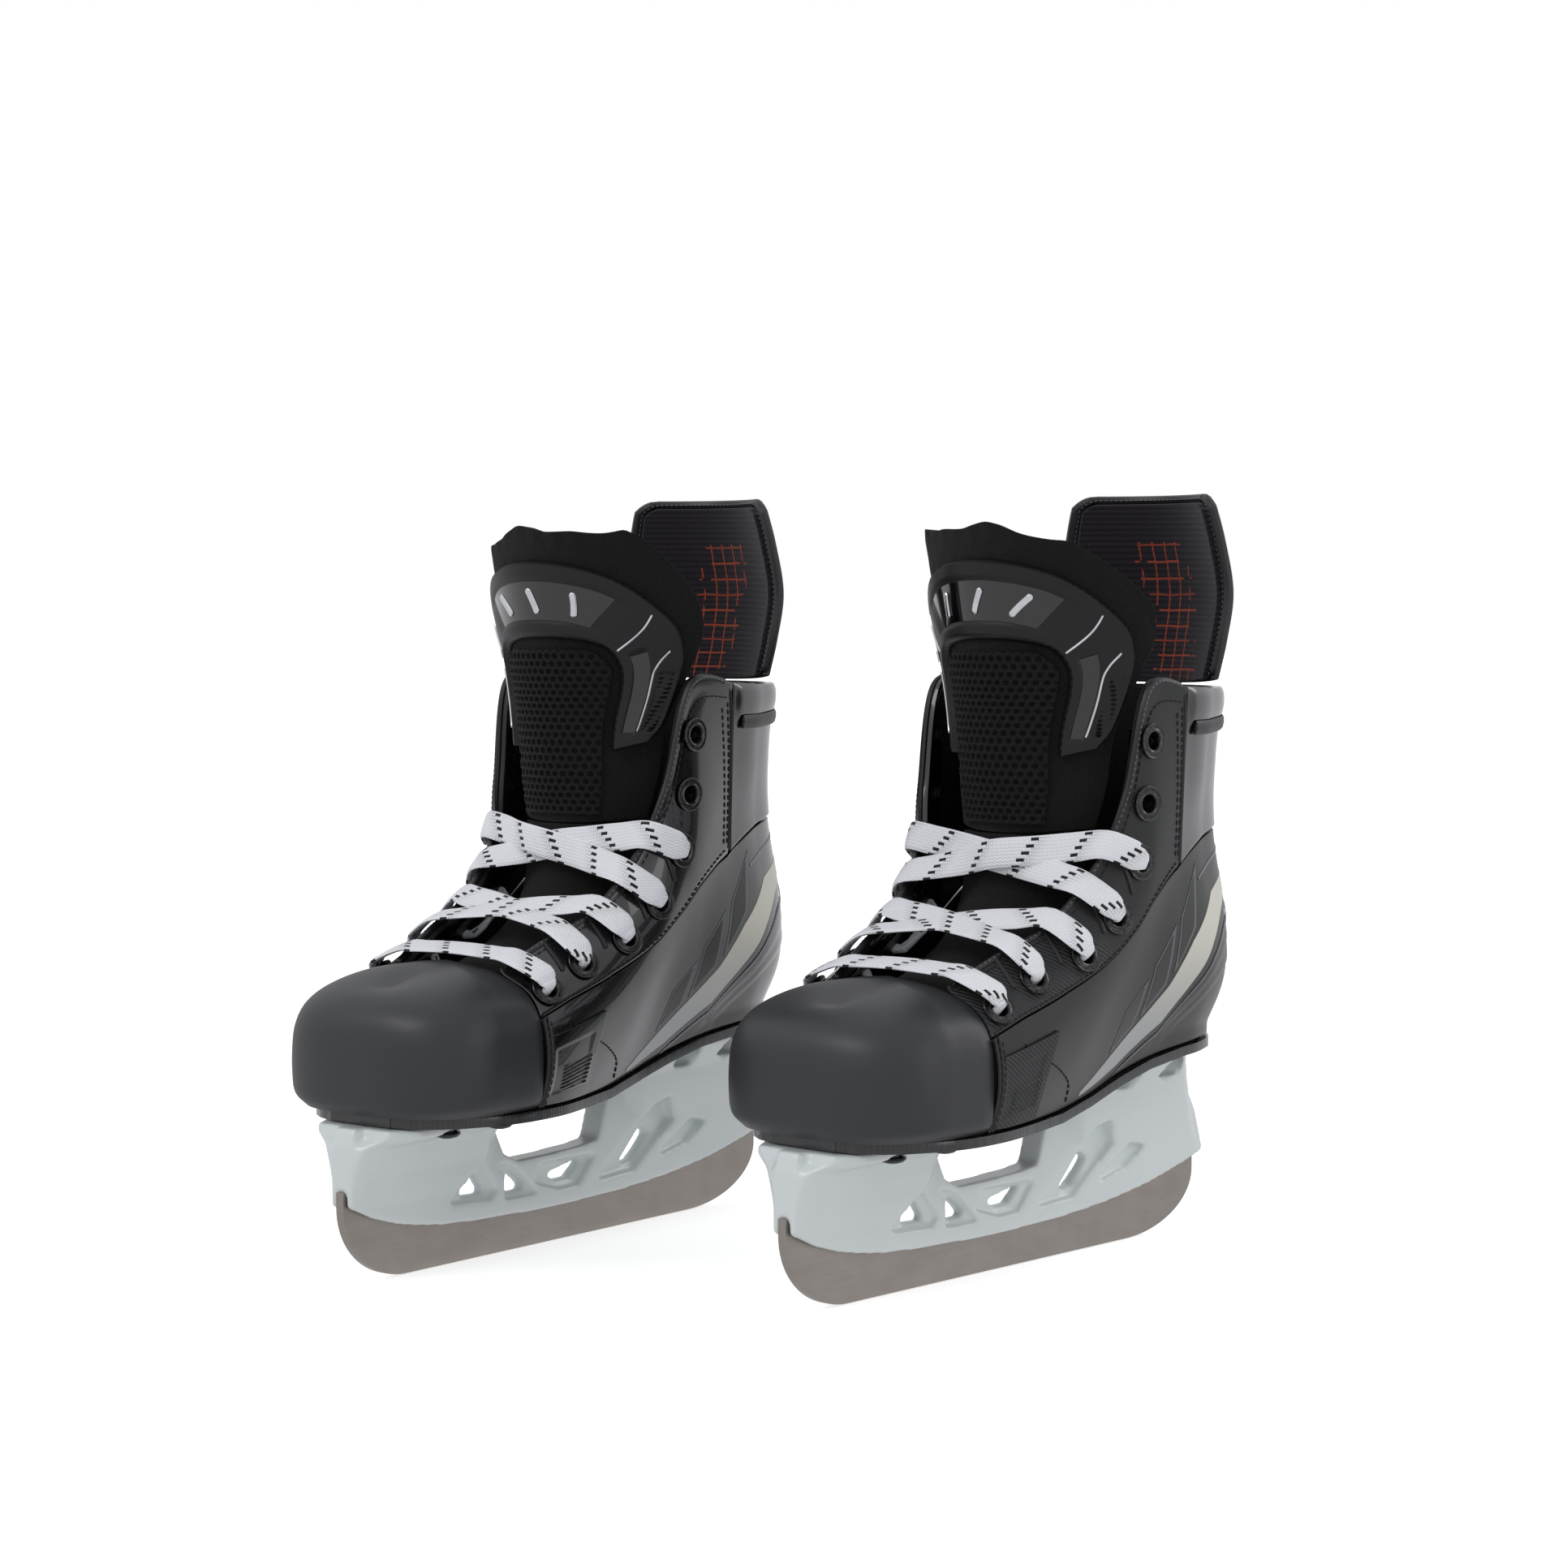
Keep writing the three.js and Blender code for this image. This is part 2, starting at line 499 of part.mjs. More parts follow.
function holder() {
  const lift = SOLE_HEIGHT - OUTSOLE_T - 45.5;
  const outline = [...steps(-106, 99, 20).map((y) => [y * RY, holderBottom(y * RY)]),
    ...HOLDER_TOP.map(([y, z]) => [y * RY, z + (z > 35 ? lift : 0)])];
  const windows = WINDOWS.map((w) => w.map(([y, z]) => [y * RY, z]));
  const web = prism(outline, windows, RAIL_T / 2);
  const tf = TOE_FLANGE_W / 2, hf = HEEL_FLANGE_W / 2, h = RAIL_T / 2;
  const toeTower = loft([towerRing(24, h + 0.2, -105.6, -52), towerRing(33, h + 2.4, -105.4, -44),
    towerRing(39 + lift, h + 7, -105, -43), towerRing(42.3 + lift, tf - 1, -101, -42),
    towerRing(60 + lift, tf, -99, -41)]);
  const heelTower = loft([towerRing(25, h + 0.2, 46, 98.4), towerRing(36, h + 1.8, 28, 93),
    towerRing(48 + lift, h + 6.5, 18, 86), towerRing(56.5 + lift, hf - 1, 13, 78),
    towerRing(75 + lift, hf, 12, 76)]);
  const sky = (h0, h1) => steps(Y(-118), Y(98), 12).map((y) => [-60, 60].map(
    (x) => V(x, y, (h1 ? 200 : soleTop(y) + SOLE_BOTTOM - GAP))));
  const above = slab(sky(0, 1), sky(0, 0));
  const slot = prism(runnerOutline(true), [], RUNNER_T / 2 + 0.3);
  const hollow = (w, side) => prism(w.map(([y, z]) => [y * RY, z]), [], 10)
    .translate(side * (POCKET_FLOOR + 10), 0, 0);
  const hollows = POCKETS.flatMap((w) => [hollow(w, 1), hollow(w, -1)]);
  const holes = [...rivetPlaces(TOE_RIVETS, toeRivetX), ...rivetPlaces(HEEL_RIVETS, heelRivetX)]
    .map((p) => rod(p, V(0, 0, 1), RIVET_R + GAP, -40, 6));
  const pockets = [...rivetPlaces(TOE_RIVETS, toeRivetX), ...rivetPlaces(HEEL_RIVETS, heelRivetX)]
    .map((p) => rod(p, V(0, 0, 1), RIVET_HEAD_R + 1.2, -14,
      SOLE_BOTTOM - FLANGE_T - GAP));
  return fromManifold(carve(join([web, toeTower, heelTower]), [above, slot, ...hollows, ...holes, ...pockets]));
}
const FLANGE_T = 2.6;

// ---- tongue ---------------------------------------------------------------------------
// rows: centre y, centre z, half-width, how far the edges fall back, direction it faces
const TONGUE = [
  [-54, 88, 15, 4, 78], [-42, 94, 17, 5, 70], [-28, 100, 19, 7, 62], [-15, 108.5, 21, 9.5, 48],
  [-7.5, 120, 23, 12, 24], [-6.5, 136, 26, 15, 3], [-8, 152, 29.5, 19, 0], [-10, 170, 31.5, 23, 0],
  [-11, 186, 37, 28, 0], [-13.5, 204, 43, 32, 4], [-16, 220, 42, 28, 6], [-19, 236, 33, 15, 6],
];
const HINGE_RELIEF = 0.12;
const TONGUE_SPLIT = 5 + 1 / 16;               // row parameter of the hinge line

function tonguePoint(t, f, depth) {
  const [cy, cz, half, back, tilt] = along(TONGUE, t);
  const a = THREE.MathUtils.degToRad(tilt);
  const face = V(0, -Math.cos(a), Math.sin(a));
  const base = V(X(f * half), Y(cy), Z(cz));
  const slope = 2 * back * f / half;           // how fast the sheet turns away sideways
  const normal = face.clone().add(V(slope, 0, 0)).normalize();
  base.addScaledVector(face, -back * f * f);
  return base.addScaledVector(normal, -depth);
}

// rise: how much later the lower border starts at the edges, which lets the sheet fold back
function tongueSheet(t0, t1, nt, f0, f1, nf, front, back, rise = 0) {
  const grid = (d) => steps(0, 1, nt).map((k) => steps(f0, f1, nf).map(
    (f) => tonguePoint(mix(t0 + rise * f * f, t1, k), f, d)));
  return slab(grid(front), grid(back));
}

const tongueBase = () => tongueSheet(0, TONGUE_SPLIT - 0.013, 6, -1, 1, 6, 0, TONGUE_T);
const tongueFelt = () => tongueSheet(TONGUE_SPLIT + 0.013, 11, 9, -1, 1, 8, 0, TONGUE_T, HINGE_RELIEF);
const tongueMesh = () => tongueSheet(5.3, 8.2, 4, -0.54, 0.54, 4, -GAP - 1.2, -GAP);

function tongueGuard() {
  const plate = tongueSheet(8.28, 10.6, 3, -0.66, 0.66, 6, -2 * GAP - 2, -2 * GAP);
  const arms = [[-0.88, -0.6], [0.6, 0.88]].map(([a, b]) => tongueSheet(6.4, 8.7, 4, a, b, 1,
    -2 * GAP - 1.9, -2 * GAP));
  return fromManifold(join([plate, ...arms]));
}

// ---- tendon guard ---------------------------------------------------------------------
// rows: height, centre y, half-width, how far the edges come forward
const GUARD = [[183.6, 81, 31, 17], [198, 85, 33, 18.5], [214, 87.5, 33, 17.5], [231, 84, 30.5, 15],
  [246, 80, 26.5, 12]];

function guardSheet(t0, t1, f1, inner, outer) {
  const point = (t, f, d) => {
    const [z, cy, half, sag] = along(GUARD, t);
    const normal = V(2 * sag * f / half, 1, 0).normalize();
    return V(X(f * half), Y(cy - sag * f * f), Z(z)).addScaledVector(normal, d);
  };
  const grid = (d) => steps(0, 1, 5).map((k) => steps(-f1, f1, 8).map(
    (f) => point(mix(t0 + HINGE_RELIEF * f * f, t1, k), f, d)));
  return slab(grid(outer), grid(inner));
}

const tendonGuard = () => guardSheet(0, 4, 1, 0, GUARD_T);
const guardLiner = () => guardSheet(0.03, 3.9, 0.95, -GAP - 2.2, -GAP);

// ---- lace -----------------------------------------------------------------------------
// One flat lace: a bar at the bottom, then on each side up inside to the next eyelet,
// out, across to the one above on the other side, and so on; both ends finish inside.
function ring({ p, b, t, w, h }) {
  const n = t.clone().cross(b).normalize();
  const corners = [[1, 0], [0.84, 1], [-0.84, 1], [-1, 0], [-0.84, -1], [0.84, -1]];
  return corners.map(([i, j]) => p.clone().addScaledVector(b, (i * w) / 2)
    .addScaledVector(n, (j * h) / 2));
}

function overTongue(point, lift) {
  let best = null;
  for (let t = 0; t <= 6; t += 0.05) {
    const [, , half] = along(TONGUE, t);
    const f = Math.max(-1, Math.min(1, point.x / X(half)));
    const q = tonguePoint(t, f, 0);
    const miss = Math.hypot(q.y - point.y, q.z - point.z);
    if (!best || miss < best.miss) best = { q, t, f, miss };
  }
  const out = tonguePoint(best.t, best.f, -1).sub(best.q).normalize();
  const height = point.clone().sub(best.q).dot(out);
  if (height < lift) point.addScaledVector(out, lift - height);
  return out;
}

function laceRun(from, to, lift) {
  const run = to.centre.clone().sub(from.centre).normalize();
  const rows = [];
  const leave = (f, sign) => {
    const n = f.normal, e = locateEdge(f);
    const toEdge = e.p.clone().sub(f.centre);
    toEdge.addScaledVector(n, -toEdge.dot(n)).normalize();
    const b = n.clone().cross(toEdge).multiplyScalar(sign).normalize();
    return { n, e, toEdge, b };
  };
  const A = leave(from, 1), B = leave(to, -1);
  const top = FACING_PROUD + GAP + 0.9;
  const at = (f, n, d) => f.centre.clone().addScaledVector(n, d);
  rows.push({ p: at(from, A.n, -7.6), b: A.b, w: 3.6, h: 2.2 });
  rows.push({ p: at(from, A.n, top + 0.3), b: A.b, w: 3.8, h: 2.0 });
  rows.push({ p: at(from, A.n, top + 1.5).addScaledVector(A.toEdge, 1.6), b: A.b, w: 6.5, h: LACE_T });
  rows.push({ p: at(from, A.n, top + 1.5).addScaledVector(A.toEdge, 5.6), b: A.b, w: LACE_W, h: LACE_T });
  const pA = A.e.p.clone().addScaledVector(A.e.n, 2.6).addScaledVector(A.toEdge, 1.2);
  const pB = B.e.p.clone().addScaledVector(B.e.n, 2.6).addScaledVector(B.toEdge, 1.2);
  rows.push({ p: pA, b: A.b, w: LACE_W, h: LACE_T });
  for (const t of [0.15, 0.32, 0.5, 0.68, 0.85]) {
    const p = pA.clone().lerp(pB, t);
    const shade = Math.sin(Math.PI * t);
    p.addScaledVector(V(0, -0.5, 0.86), 1.2 * shade);
    const out = overTongue(p, lift * shade + LACE_T / 2 + 5 * GAP);
    const cross = out.cross(run).normalize();
    const b = A.b.clone().lerp(B.b, t).normalize();
    rows.push({ p, b: b.lerp(cross.multiplyScalar(Math.sign(cross.dot(b)) || 1), shade).normalize(),
      w: LACE_W, h: LACE_T });
  }
  rows.push({ p: pB, b: B.b, w: LACE_W, h: LACE_T });
  rows.push({ p: at(to, B.n, top + 1.5).addScaledVector(B.toEdge, 5.6), b: B.b, w: LACE_W, h: LACE_T });
  rows.push({ p: at(to, B.n, top + 1.5).addScaledVector(B.toEdge, 1.6), b: B.b, w: 6.5, h: LACE_T });
  rows.push({ p: at(to, B.n, top + 0.3), b: B.b, w: 3.8, h: 2.0 });
  rows.push({ p: at(to, B.n, -7.6), b: B.b, w: 3.6, h: 2.2 });
  return rows;
}

// nearest point of the facing's free edge to an eyelet
function locateEdge(frame) {
  const side = Math.sign(frame.u);
  let best = null;
  for (let u = 4.1; u <= LAST_RIB; u += 0.05) {
    const p = surface(side * u, 4), miss = p.distanceTo(frame.centre);
    if (!best || miss < best.miss) best = { p, u: side * u, miss };
  }
  best.n = surfaceNormal(best.u, 3.95);
  return best;
}

function lace(lateral, medial) {
  const L = lateral, M = medial;
  const half = (a, b) => [
    // a[1] -> b[2] across, up inside b to b[3], b[3] -> a[4] across, then a tail inside
    ...laceRun(a[1], b[2], a === M ? 2.6 : 0.2), ...laceRun(b[3], a[4], a === M ? 2.6 : 0.2),
  ];
  const bar = laceRun(M[0], L[0], 0.4);
  const left = half(M, L), right = half(L, M);
  const tail = (frame) => [7, 20, 34].map((drop, i) => ({
    p: frame.centre.clone().addScaledVector(frame.normal, -8 - 3 * i).add(V(0, 0.5 * drop, -drop * 0.6)),
    b: V(0, 1, 0), w: i ? 6 : 4, h: LACE_T }));
  const rows = [...tail(M[4]).reverse(), ...left.slice().reverse(), ...bar, ...right, ...tail(L[4])];
  return rows;
}

function laceBody(rows) {
  const path = rows.map((r, i) => {
    const before = rows[Math.max(i - 1, 0)].p, after = rows[Math.min(i + 1, rows.length - 1)].p;
    return { ...r, t: after.clone().sub(before).normalize() };
  });
  let last = null;
  for (const r of path) {
    r.b = r.b.clone().addScaledVector(r.t, -r.b.dot(r.t)).normalize();
    if (last && r.b.dot(last) < 0) r.b.negate();
    last = r.b;
  }
  return loft(path.map(ring));
}

// ---- colours --------------------------------------------------------------------------
const look = (color, roughness, metalness = 0) => ({ color, roughness, metalness });
const LOOKS = {
  steel: look(0x9d9894, 0.32, 1), holder: look(0xe3e8e8, 0.35), outsole: look(0x2c2d30, 0.3),
  rivet: look(0x17181a, 0.4, 0.6), board: look(0x8d7f6a, 0.85), footbed: look(0x1e2023, 0.9),
  cap: look(0x3a3b3d, 0.55), quarter: look(0x2b2c2e, 0.35), facing: look(0x242527, 0.6),
  grommet: look(0x141416, 0.3, 0.8), gloss: look(0x121315, 0.15), felt: look(0x0e0e10, 0.95),
  knit: look(0x1a1519, 0.9), plate: look(0x1d1e21, 0.45), mesh: look(0x0b0b0c, 0.85),
  lace: look(0xeceef2, 0.8), badge: look(0x4a4b50, 0.3, 0.6), guard: look(0x1b1b1d, 0.5),
};

// ---- one skate ------------------------------------------------------------------------
function skatePieces() {
  const lateral = eyeletFrames(1), medial = eyeletFrames(-1);
  return [
    ["runner", runner(), "steel"], ["blade_holder", holder(), "holder"],
    ["outsole", outsole(), "outsole"],
    ["toe_rivets", rivets(TOE_RIVETS, toeRivetX, FLANGE_T), "rivet"],
    ["heel_rivets", rivets(HEEL_RIVETS, heelRivetX, FLANGE_T), "rivet"],
    ["insole_board", insoleBoard(), "board"], ["footbed", footbed(), "footbed"],
    ["toe_cap", toeCap(), "cap"], ["heel_cup", heelCup(), "gloss"],
    ["lateral_quarter", quarter(1), "quarter"], ["medial_quarter", quarter(-1), "quarter"],
    ["lateral_rand", rand(1), "facing"], ["medial_rand", rand(-1), "facing"],
    ["lateral_facing", facing(1, lateral), "facing"], ["medial_facing", facing(-1, medial), "gloss"],
    ["lateral_eyelets", eyelets(lateral), "grommet"], ["medial_eyelets", eyelets(medial), "grommet"],
    ["collar", collar(), "gloss"], ["ankle_lining", lining(), "knit"],
    ["heel_badge", heelBadge(), "badge"],
    ["tendon_guard", tendonGuard(), "guard"], ["tendon_guard_liner", guardLiner(), "knit"],
    ["tongue_base", tongueBase(), "felt"], ["tongue_felt", tongueFelt(), "felt"],
    ["tongue_guard", tongueGuard(), "plate"], ["tongue_mesh", tongueMesh(), "mesh"],
    ["lace", laceBody(lace(lateral, medial)), "lace"],
  ];
}

function mirrored(geometry) {
  const g = (geometry.index ? geometry.toNonIndexed() : geometry.clone()).scale(-1, 1, 1);
  const p = g.attributes.position;
  for (let i = 0; i < p.count; i += 3) {
    const b = [p.getX(i + 1), p.getY(i + 1), p.getZ(i + 1)];
    p.setXYZ(i + 1, p.getX(i + 2), p.getY(i + 2), p.getZ(i + 2));
    p.setXYZ(i + 2, ...b);
  }
  g.computeVertexNormals();
  return g;
}

const pieces = skatePieces();
const skate = (foot, shape) => {
  const group = new THREE.Group();
  for (const [name, geometry, finish] of pieces) {
    const mesh = new THREE.Mesh(shape(geometry), new THREE.MeshStandardMaterial(LOOKS[finish]));
    mesh.name = `${foot}_${name}`;
    group.add(mesh);
  }
  return group;
};

const pair = new THREE.Group();
const left = skate("left", (g) => g);
const right = skate("right", mirrored);
right.rotation.z = THREE.MathUtils.degToRad(PAIR_TURN);
right.position.set(-PAIR_SPREAD, -PAIR_STAGGER, 0);
pair.add(left, right);
pair.updateMatrixWorld(true);
const bounds = new THREE.Box3().setFromObject(pair);
const middle = bounds.getCenter(V(0, 0, 0));
pair.position.set(-middle.x, -middle.y, -bounds.min.z);

export default pair;
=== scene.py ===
# %% [markdown]
# # A pair of youth hockey skates
#
# Two skates that mirror one another: a stiff moulded boot with a toe cap, a laced front, a felt
# tongue and a tall tendon guard, riveted to a white blade holder that grips a steel runner.
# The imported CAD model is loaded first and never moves. Every piece below is built in one
# skate's own space (millimetres, x = 0 on the blade, outer side at +x, toes towards -y, ice at
# z = 0), is then set down as the left skate, and is mirrored for the right one.

# %% Load the frame and find where each skate stands
import json, math
import bpy, bmesh
import numpy as np
from mathutils import Matrix, Vector

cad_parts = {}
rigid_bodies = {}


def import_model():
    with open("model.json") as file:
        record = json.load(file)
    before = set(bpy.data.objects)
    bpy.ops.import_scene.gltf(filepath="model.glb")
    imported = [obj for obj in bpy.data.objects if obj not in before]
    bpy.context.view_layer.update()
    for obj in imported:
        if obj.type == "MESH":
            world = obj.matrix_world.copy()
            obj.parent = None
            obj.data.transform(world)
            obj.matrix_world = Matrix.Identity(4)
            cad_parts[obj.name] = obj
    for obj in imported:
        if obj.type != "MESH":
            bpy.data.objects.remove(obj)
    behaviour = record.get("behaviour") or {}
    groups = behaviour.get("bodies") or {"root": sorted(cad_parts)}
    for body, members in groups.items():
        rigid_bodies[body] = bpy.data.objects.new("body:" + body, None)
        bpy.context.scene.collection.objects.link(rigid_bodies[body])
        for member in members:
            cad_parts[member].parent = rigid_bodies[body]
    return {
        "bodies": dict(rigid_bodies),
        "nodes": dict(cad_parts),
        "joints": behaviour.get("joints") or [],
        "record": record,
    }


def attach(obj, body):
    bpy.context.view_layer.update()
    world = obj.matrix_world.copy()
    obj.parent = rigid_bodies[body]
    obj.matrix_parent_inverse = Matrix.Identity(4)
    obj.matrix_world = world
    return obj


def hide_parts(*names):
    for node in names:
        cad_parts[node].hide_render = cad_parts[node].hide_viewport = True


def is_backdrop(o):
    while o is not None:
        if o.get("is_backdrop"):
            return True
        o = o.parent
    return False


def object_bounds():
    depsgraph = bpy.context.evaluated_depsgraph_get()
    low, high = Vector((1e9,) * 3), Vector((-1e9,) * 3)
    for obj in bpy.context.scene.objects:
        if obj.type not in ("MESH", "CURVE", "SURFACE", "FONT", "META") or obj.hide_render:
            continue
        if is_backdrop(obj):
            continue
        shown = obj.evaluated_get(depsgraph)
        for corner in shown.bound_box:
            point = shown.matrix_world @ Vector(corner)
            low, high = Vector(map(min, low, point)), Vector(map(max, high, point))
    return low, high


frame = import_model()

cad_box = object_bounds()
joints = {j["name"]: j for j in frame["joints"]}
mounts = {m["name"]: Vector(m["pos_m"]) for m in frame["record"]["mounts"]}
toe_in = math.atan2(joints["right_tongue_flex"]["axis"][1], joints["right_tongue_flex"]["axis"][0])
EDGE = Vector((0, -0.0095, 0))          # middle of the runner's flat, in a skate's own space
turn = Matrix.Rotation(toe_in, 4, "Z")
mirror = Matrix.Diagonal((-1, 1, 1, 1))
STAND = {
    "left": Matrix.Translation(mounts["left_runner_edge"] - EDGE),
    "right": Matrix.Translation(mounts["right_runner_edge"] - turn @ EDGE) @ turn @ mirror,
}
print("skates stand at", [tuple(round(c, 4) for c in m.translation) for m in STAND.values()])

# %% [markdown]
# ## Camera, floor and light
#
# A product view: a long lens a little over a metre away, just above the skates' middle, from
# the front and the outer side of the left skate. The light is a bright tent, which is what
# shows black leather and patent: a bright surround, a big soft light over the toes and two weak
# tall strips that draw long highlights on the glossy heel and ankle. The camera sees the
# surround as pure white, and the floor lights nothing, so the surround alone sets the level.

# %% Camera
def look_at(obj, target):
    obj.rotation_euler = (Vector(target) - obj.location).to_track_quat("-Z", "Y").to_euler()

VIEWED_FROM, LOOKED_AT = Vector((0.7270, -0.7841, 0.2096)), Vector((-0.0256, 0.0343, 0.1494))
bpy.ops.object.camera_add(location=VIEWED_FROM)
camera = bpy.context.object
look_at(camera, LOOKED_AT)
camera.data.lens = 76.22
camera.data.sensor_width = 36
camera.data.clip_start, camera.data.clip_end = 0.01, 60
bpy.context.scene.camera = camera
print("camera is", round((VIEWED_FROM - LOOKED_AT).length, 3), "m away")

# %% Lights and the white surround
def soft_light(name, place, target, size, power):
    bpy.ops.object.light_add(type="AREA", location=place)
    lamp = bpy.context.object
    lamp.name, lamp.data.shape = name, "RECTANGLE"
    lamp.data.size, lamp.data.size_y, lamp.data.energy = size[0], size[1], power
    look_at(lamp, target)

soft_light("light_over_toes", (-0.5, -1.6, 1.6), (0, -0.05, 0.1), (1.2, 0.8), 9)
soft_light("light_outer_strip", (1.5, 0.25, 0.55), (0.05, 0.0, 0.1), (0.3, 1.2), 1.6)
soft_light("light_rear_strip", (0.7, 1.3, 0.9), (0, 0.08, 0.12), (0.35, 1.1), 3)
world = bpy.data.worlds.new("white_tent")
bpy.context.scene.world = world
world.use_nodes = True
sky = world.node_tree
add = lambda kind: sky.nodes.new(kind)
height, ramp, share, ray = (add(f"ShaderNode{k}") for k in ("SeparateXYZ", "ValToRGB", "Mix",
                                                            "LightPath"))
sky.links.new(add("ShaderNodeTexCoord").outputs["Generated"], height.inputs[0])
sky.links.new(height.outputs["Z"], ramp.inputs["Fac"])
LEVELS = [(0.0, (0.66, 0.665, 0.68, 1)), (0.8, (0.7, 0.71, 0.73, 1))]   # horizon, overhead
for stop, (place, colour) in zip(ramp.color_ramp.elements, LEVELS):
    stop.position, stop.color = place, colour
share.data_type = "RGBA"
sky.links.new(ray.outputs["Is Camera Ray"], share.inputs[0])
sky.links.new(ramp.outputs["Color"], share.inputs[6])
share.inputs[7].default_value = (1, 1, 1, 1)
sky.links.new(share.outputs[2], sky.nodes["Background"].inputs["Color"])
bpy.context.scene.view_settings.view_transform = "Standard"

# %% [markdown]
# ## Writing a finish as a sum
#
# A finish here is a Principled shader with a few procedural terms. To write those terms as
# arithmetic, `Val` wraps a socket and gives it + - * / < >, and `Finish.node` makes any other
# node. Patterns that follow a piece (weave, ribs, print) read its UV map, which is in metres
# along the surface, and grain reads Object coordinates.

# %% A small class for shader maths
class Val:
    """A shader value that can be added, multiplied and compared."""
    def __init__(self, finish, socket):
        self.finish, self.socket = finish, socket

    def math(self, kind, *others):
        return self.finish.node("ShaderNodeMath", {"operation": kind}, (self, *others))

    def __add__(self, o): return self.math("ADD", o)
    def __sub__(self, o): return self.math("SUBTRACT", o)
    def __mul__(self, o): return self.math("MULTIPLY", o)
    def __truediv__(self, o): return self.math("DIVIDE", o)
    def __lt__(self, o): return self.math("LESS_THAN", o)
    def __gt__(self, o): return self.math("GREATER_THAN", o)
    __radd__, __rmul__ = __add__, __mul__
    def __rsub__(self, o):
        return self.finish.node("ShaderNodeMath", {"operation": "SUBTRACT"}, (o, self))

    def fract(self): return self.math("FRACT")
    def floor(self): return self.math("FLOOR")
    def wave(self): return self.math("SINE")
    def size(self): return self.math("ABSOLUTE")
    def most(self, o): return self.math("MAXIMUM", o)

    def ease(self, a, b):
        """0 below a, 1 above b, and smooth between them."""
        return self.finish.node("ShaderNodeMapRange", {"interpolation_type": "SMOOTHSTEP"},
                                {"Value": self, "From Min": a, "From Max": b})


def paint(code):
    """A linear colour from a six-figure display colour."""
    parts = [int(code[i:i + 2], 16) / 255 for i in (0, 2, 4)]
    return (*[c / 12.92 if c <= 0.04045 else ((c + 0.055) / 1.055) ** 2.4 for c in parts], 1)


class Finish:
    """One material: values on the shader's own sockets, and nodes for what varies."""
    def __init__(self, name, **sockets):
        self.material = bpy.data.materials.new(name)
        self.material.use_nodes = True
        self.tree = self.material.node_tree
        self.shader = self.tree.nodes["Principled BSDF"]
        self.set(**sockets)

    def set(self, **sockets):
        for key, value in sockets.items():
            self.fill(self.shader.inputs[key.replace("_", " ")], value)

    def fill(self, socket, value):
        if isinstance(value, Val):
            self.tree.links.new(value.socket, socket)
        else:
            socket.default_value = value

    def node(self, kind, settings=None, inputs=(), out=0):
        made = self.tree.nodes.new(kind)
        for key, value in (settings or {}).items():
            setattr(made, key, value)
        for key, value in inputs.items() if isinstance(inputs, dict) else enumerate(inputs):
            self.fill(made.inputs[key], value)
        return Val(self, made.outputs[out])

    def place(self, kind="Object"):
        return self.node("ShaderNodeTexCoord", out=kind)

    def parts(self, vector):
        split = self.node("ShaderNodeSeparateXYZ", None, (vector,))
        return [Val(self, s) for s in split.socket.node.outputs]

    def noise(self, vector, scale, detail=2.0, rough=0.5):
        return self.node("ShaderNodeTexNoise", None, {"Vector": vector, "Scale": scale,
                         "Detail": detail, "Roughness": rough}, "Fac")

    def stretch(self, vector, scale, turned=(0, 0, 0)):
        return self.node("ShaderNodeMapping", None, {"Vector": vector, "Scale": scale,
                         "Rotation": turned})

    def mix(self, share, a, b):
        return self.node("ShaderNodeMix", {"data_type": "RGBA"}, {0: share, 6: a, 7: b}, 2)

    def relief(self, height, distance, strength=1.0):
        self.set(Normal=self.node("ShaderNodeBump", None, {"Height": height,
                 "Distance": distance, "Strength": strength}))


floor_paint = Finish("studio_floor", Roughness=0.9, Emission_Color=(1, 1, 1, 1),
                     Emission_Strength=0.62)
grain = floor_paint.noise(floor_paint.place(), 90, 3)
floor_paint.set(Base_Color=floor_paint.mix(grain, paint("f1f1f0"), paint("f7f7f6")))
FLOOR_RADIUS = 14
bpy.ops.mesh.primitive_circle_add(vertices=96, radius=FLOOR_RADIUS, fill_type="NGON",
                                  location=(0, 0, -0.0004))
floor = bpy.context.object
floor.name = "studio_floor"
floor.data.materials.append(floor_paint.material)
floor.visible_diffuse = floor.visible_glossy = False
floor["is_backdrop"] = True
print("floor radius", FLOOR_RADIUS, "m")

# %% [markdown]
# ## The boot's shape
#
# A boot is a lasted shell, so its wall is drawn as a boatbuilder would: ribs from the sole to
# the top edge, with a smooth skin through them. A point of the skin is (u, v): u counts ribs
# from the back of the heel (0) forwards to the toe cap's seam (9 on the outer side, -9 on the
# inner side), and v runs from the sole (0) to the top edge (4). Every layer of the boot is a
# piece of this skin at its own depth, which is why the layers follow one another.

# %% Tables of the boot and a smooth curve through rows
SOLE, HEEL_PITCH, RISE = 52.5, 16, 130.5 / 133
SHELL, PROUD = 2.4, 0.8        # wall thickness, and how far facing and cap stand out

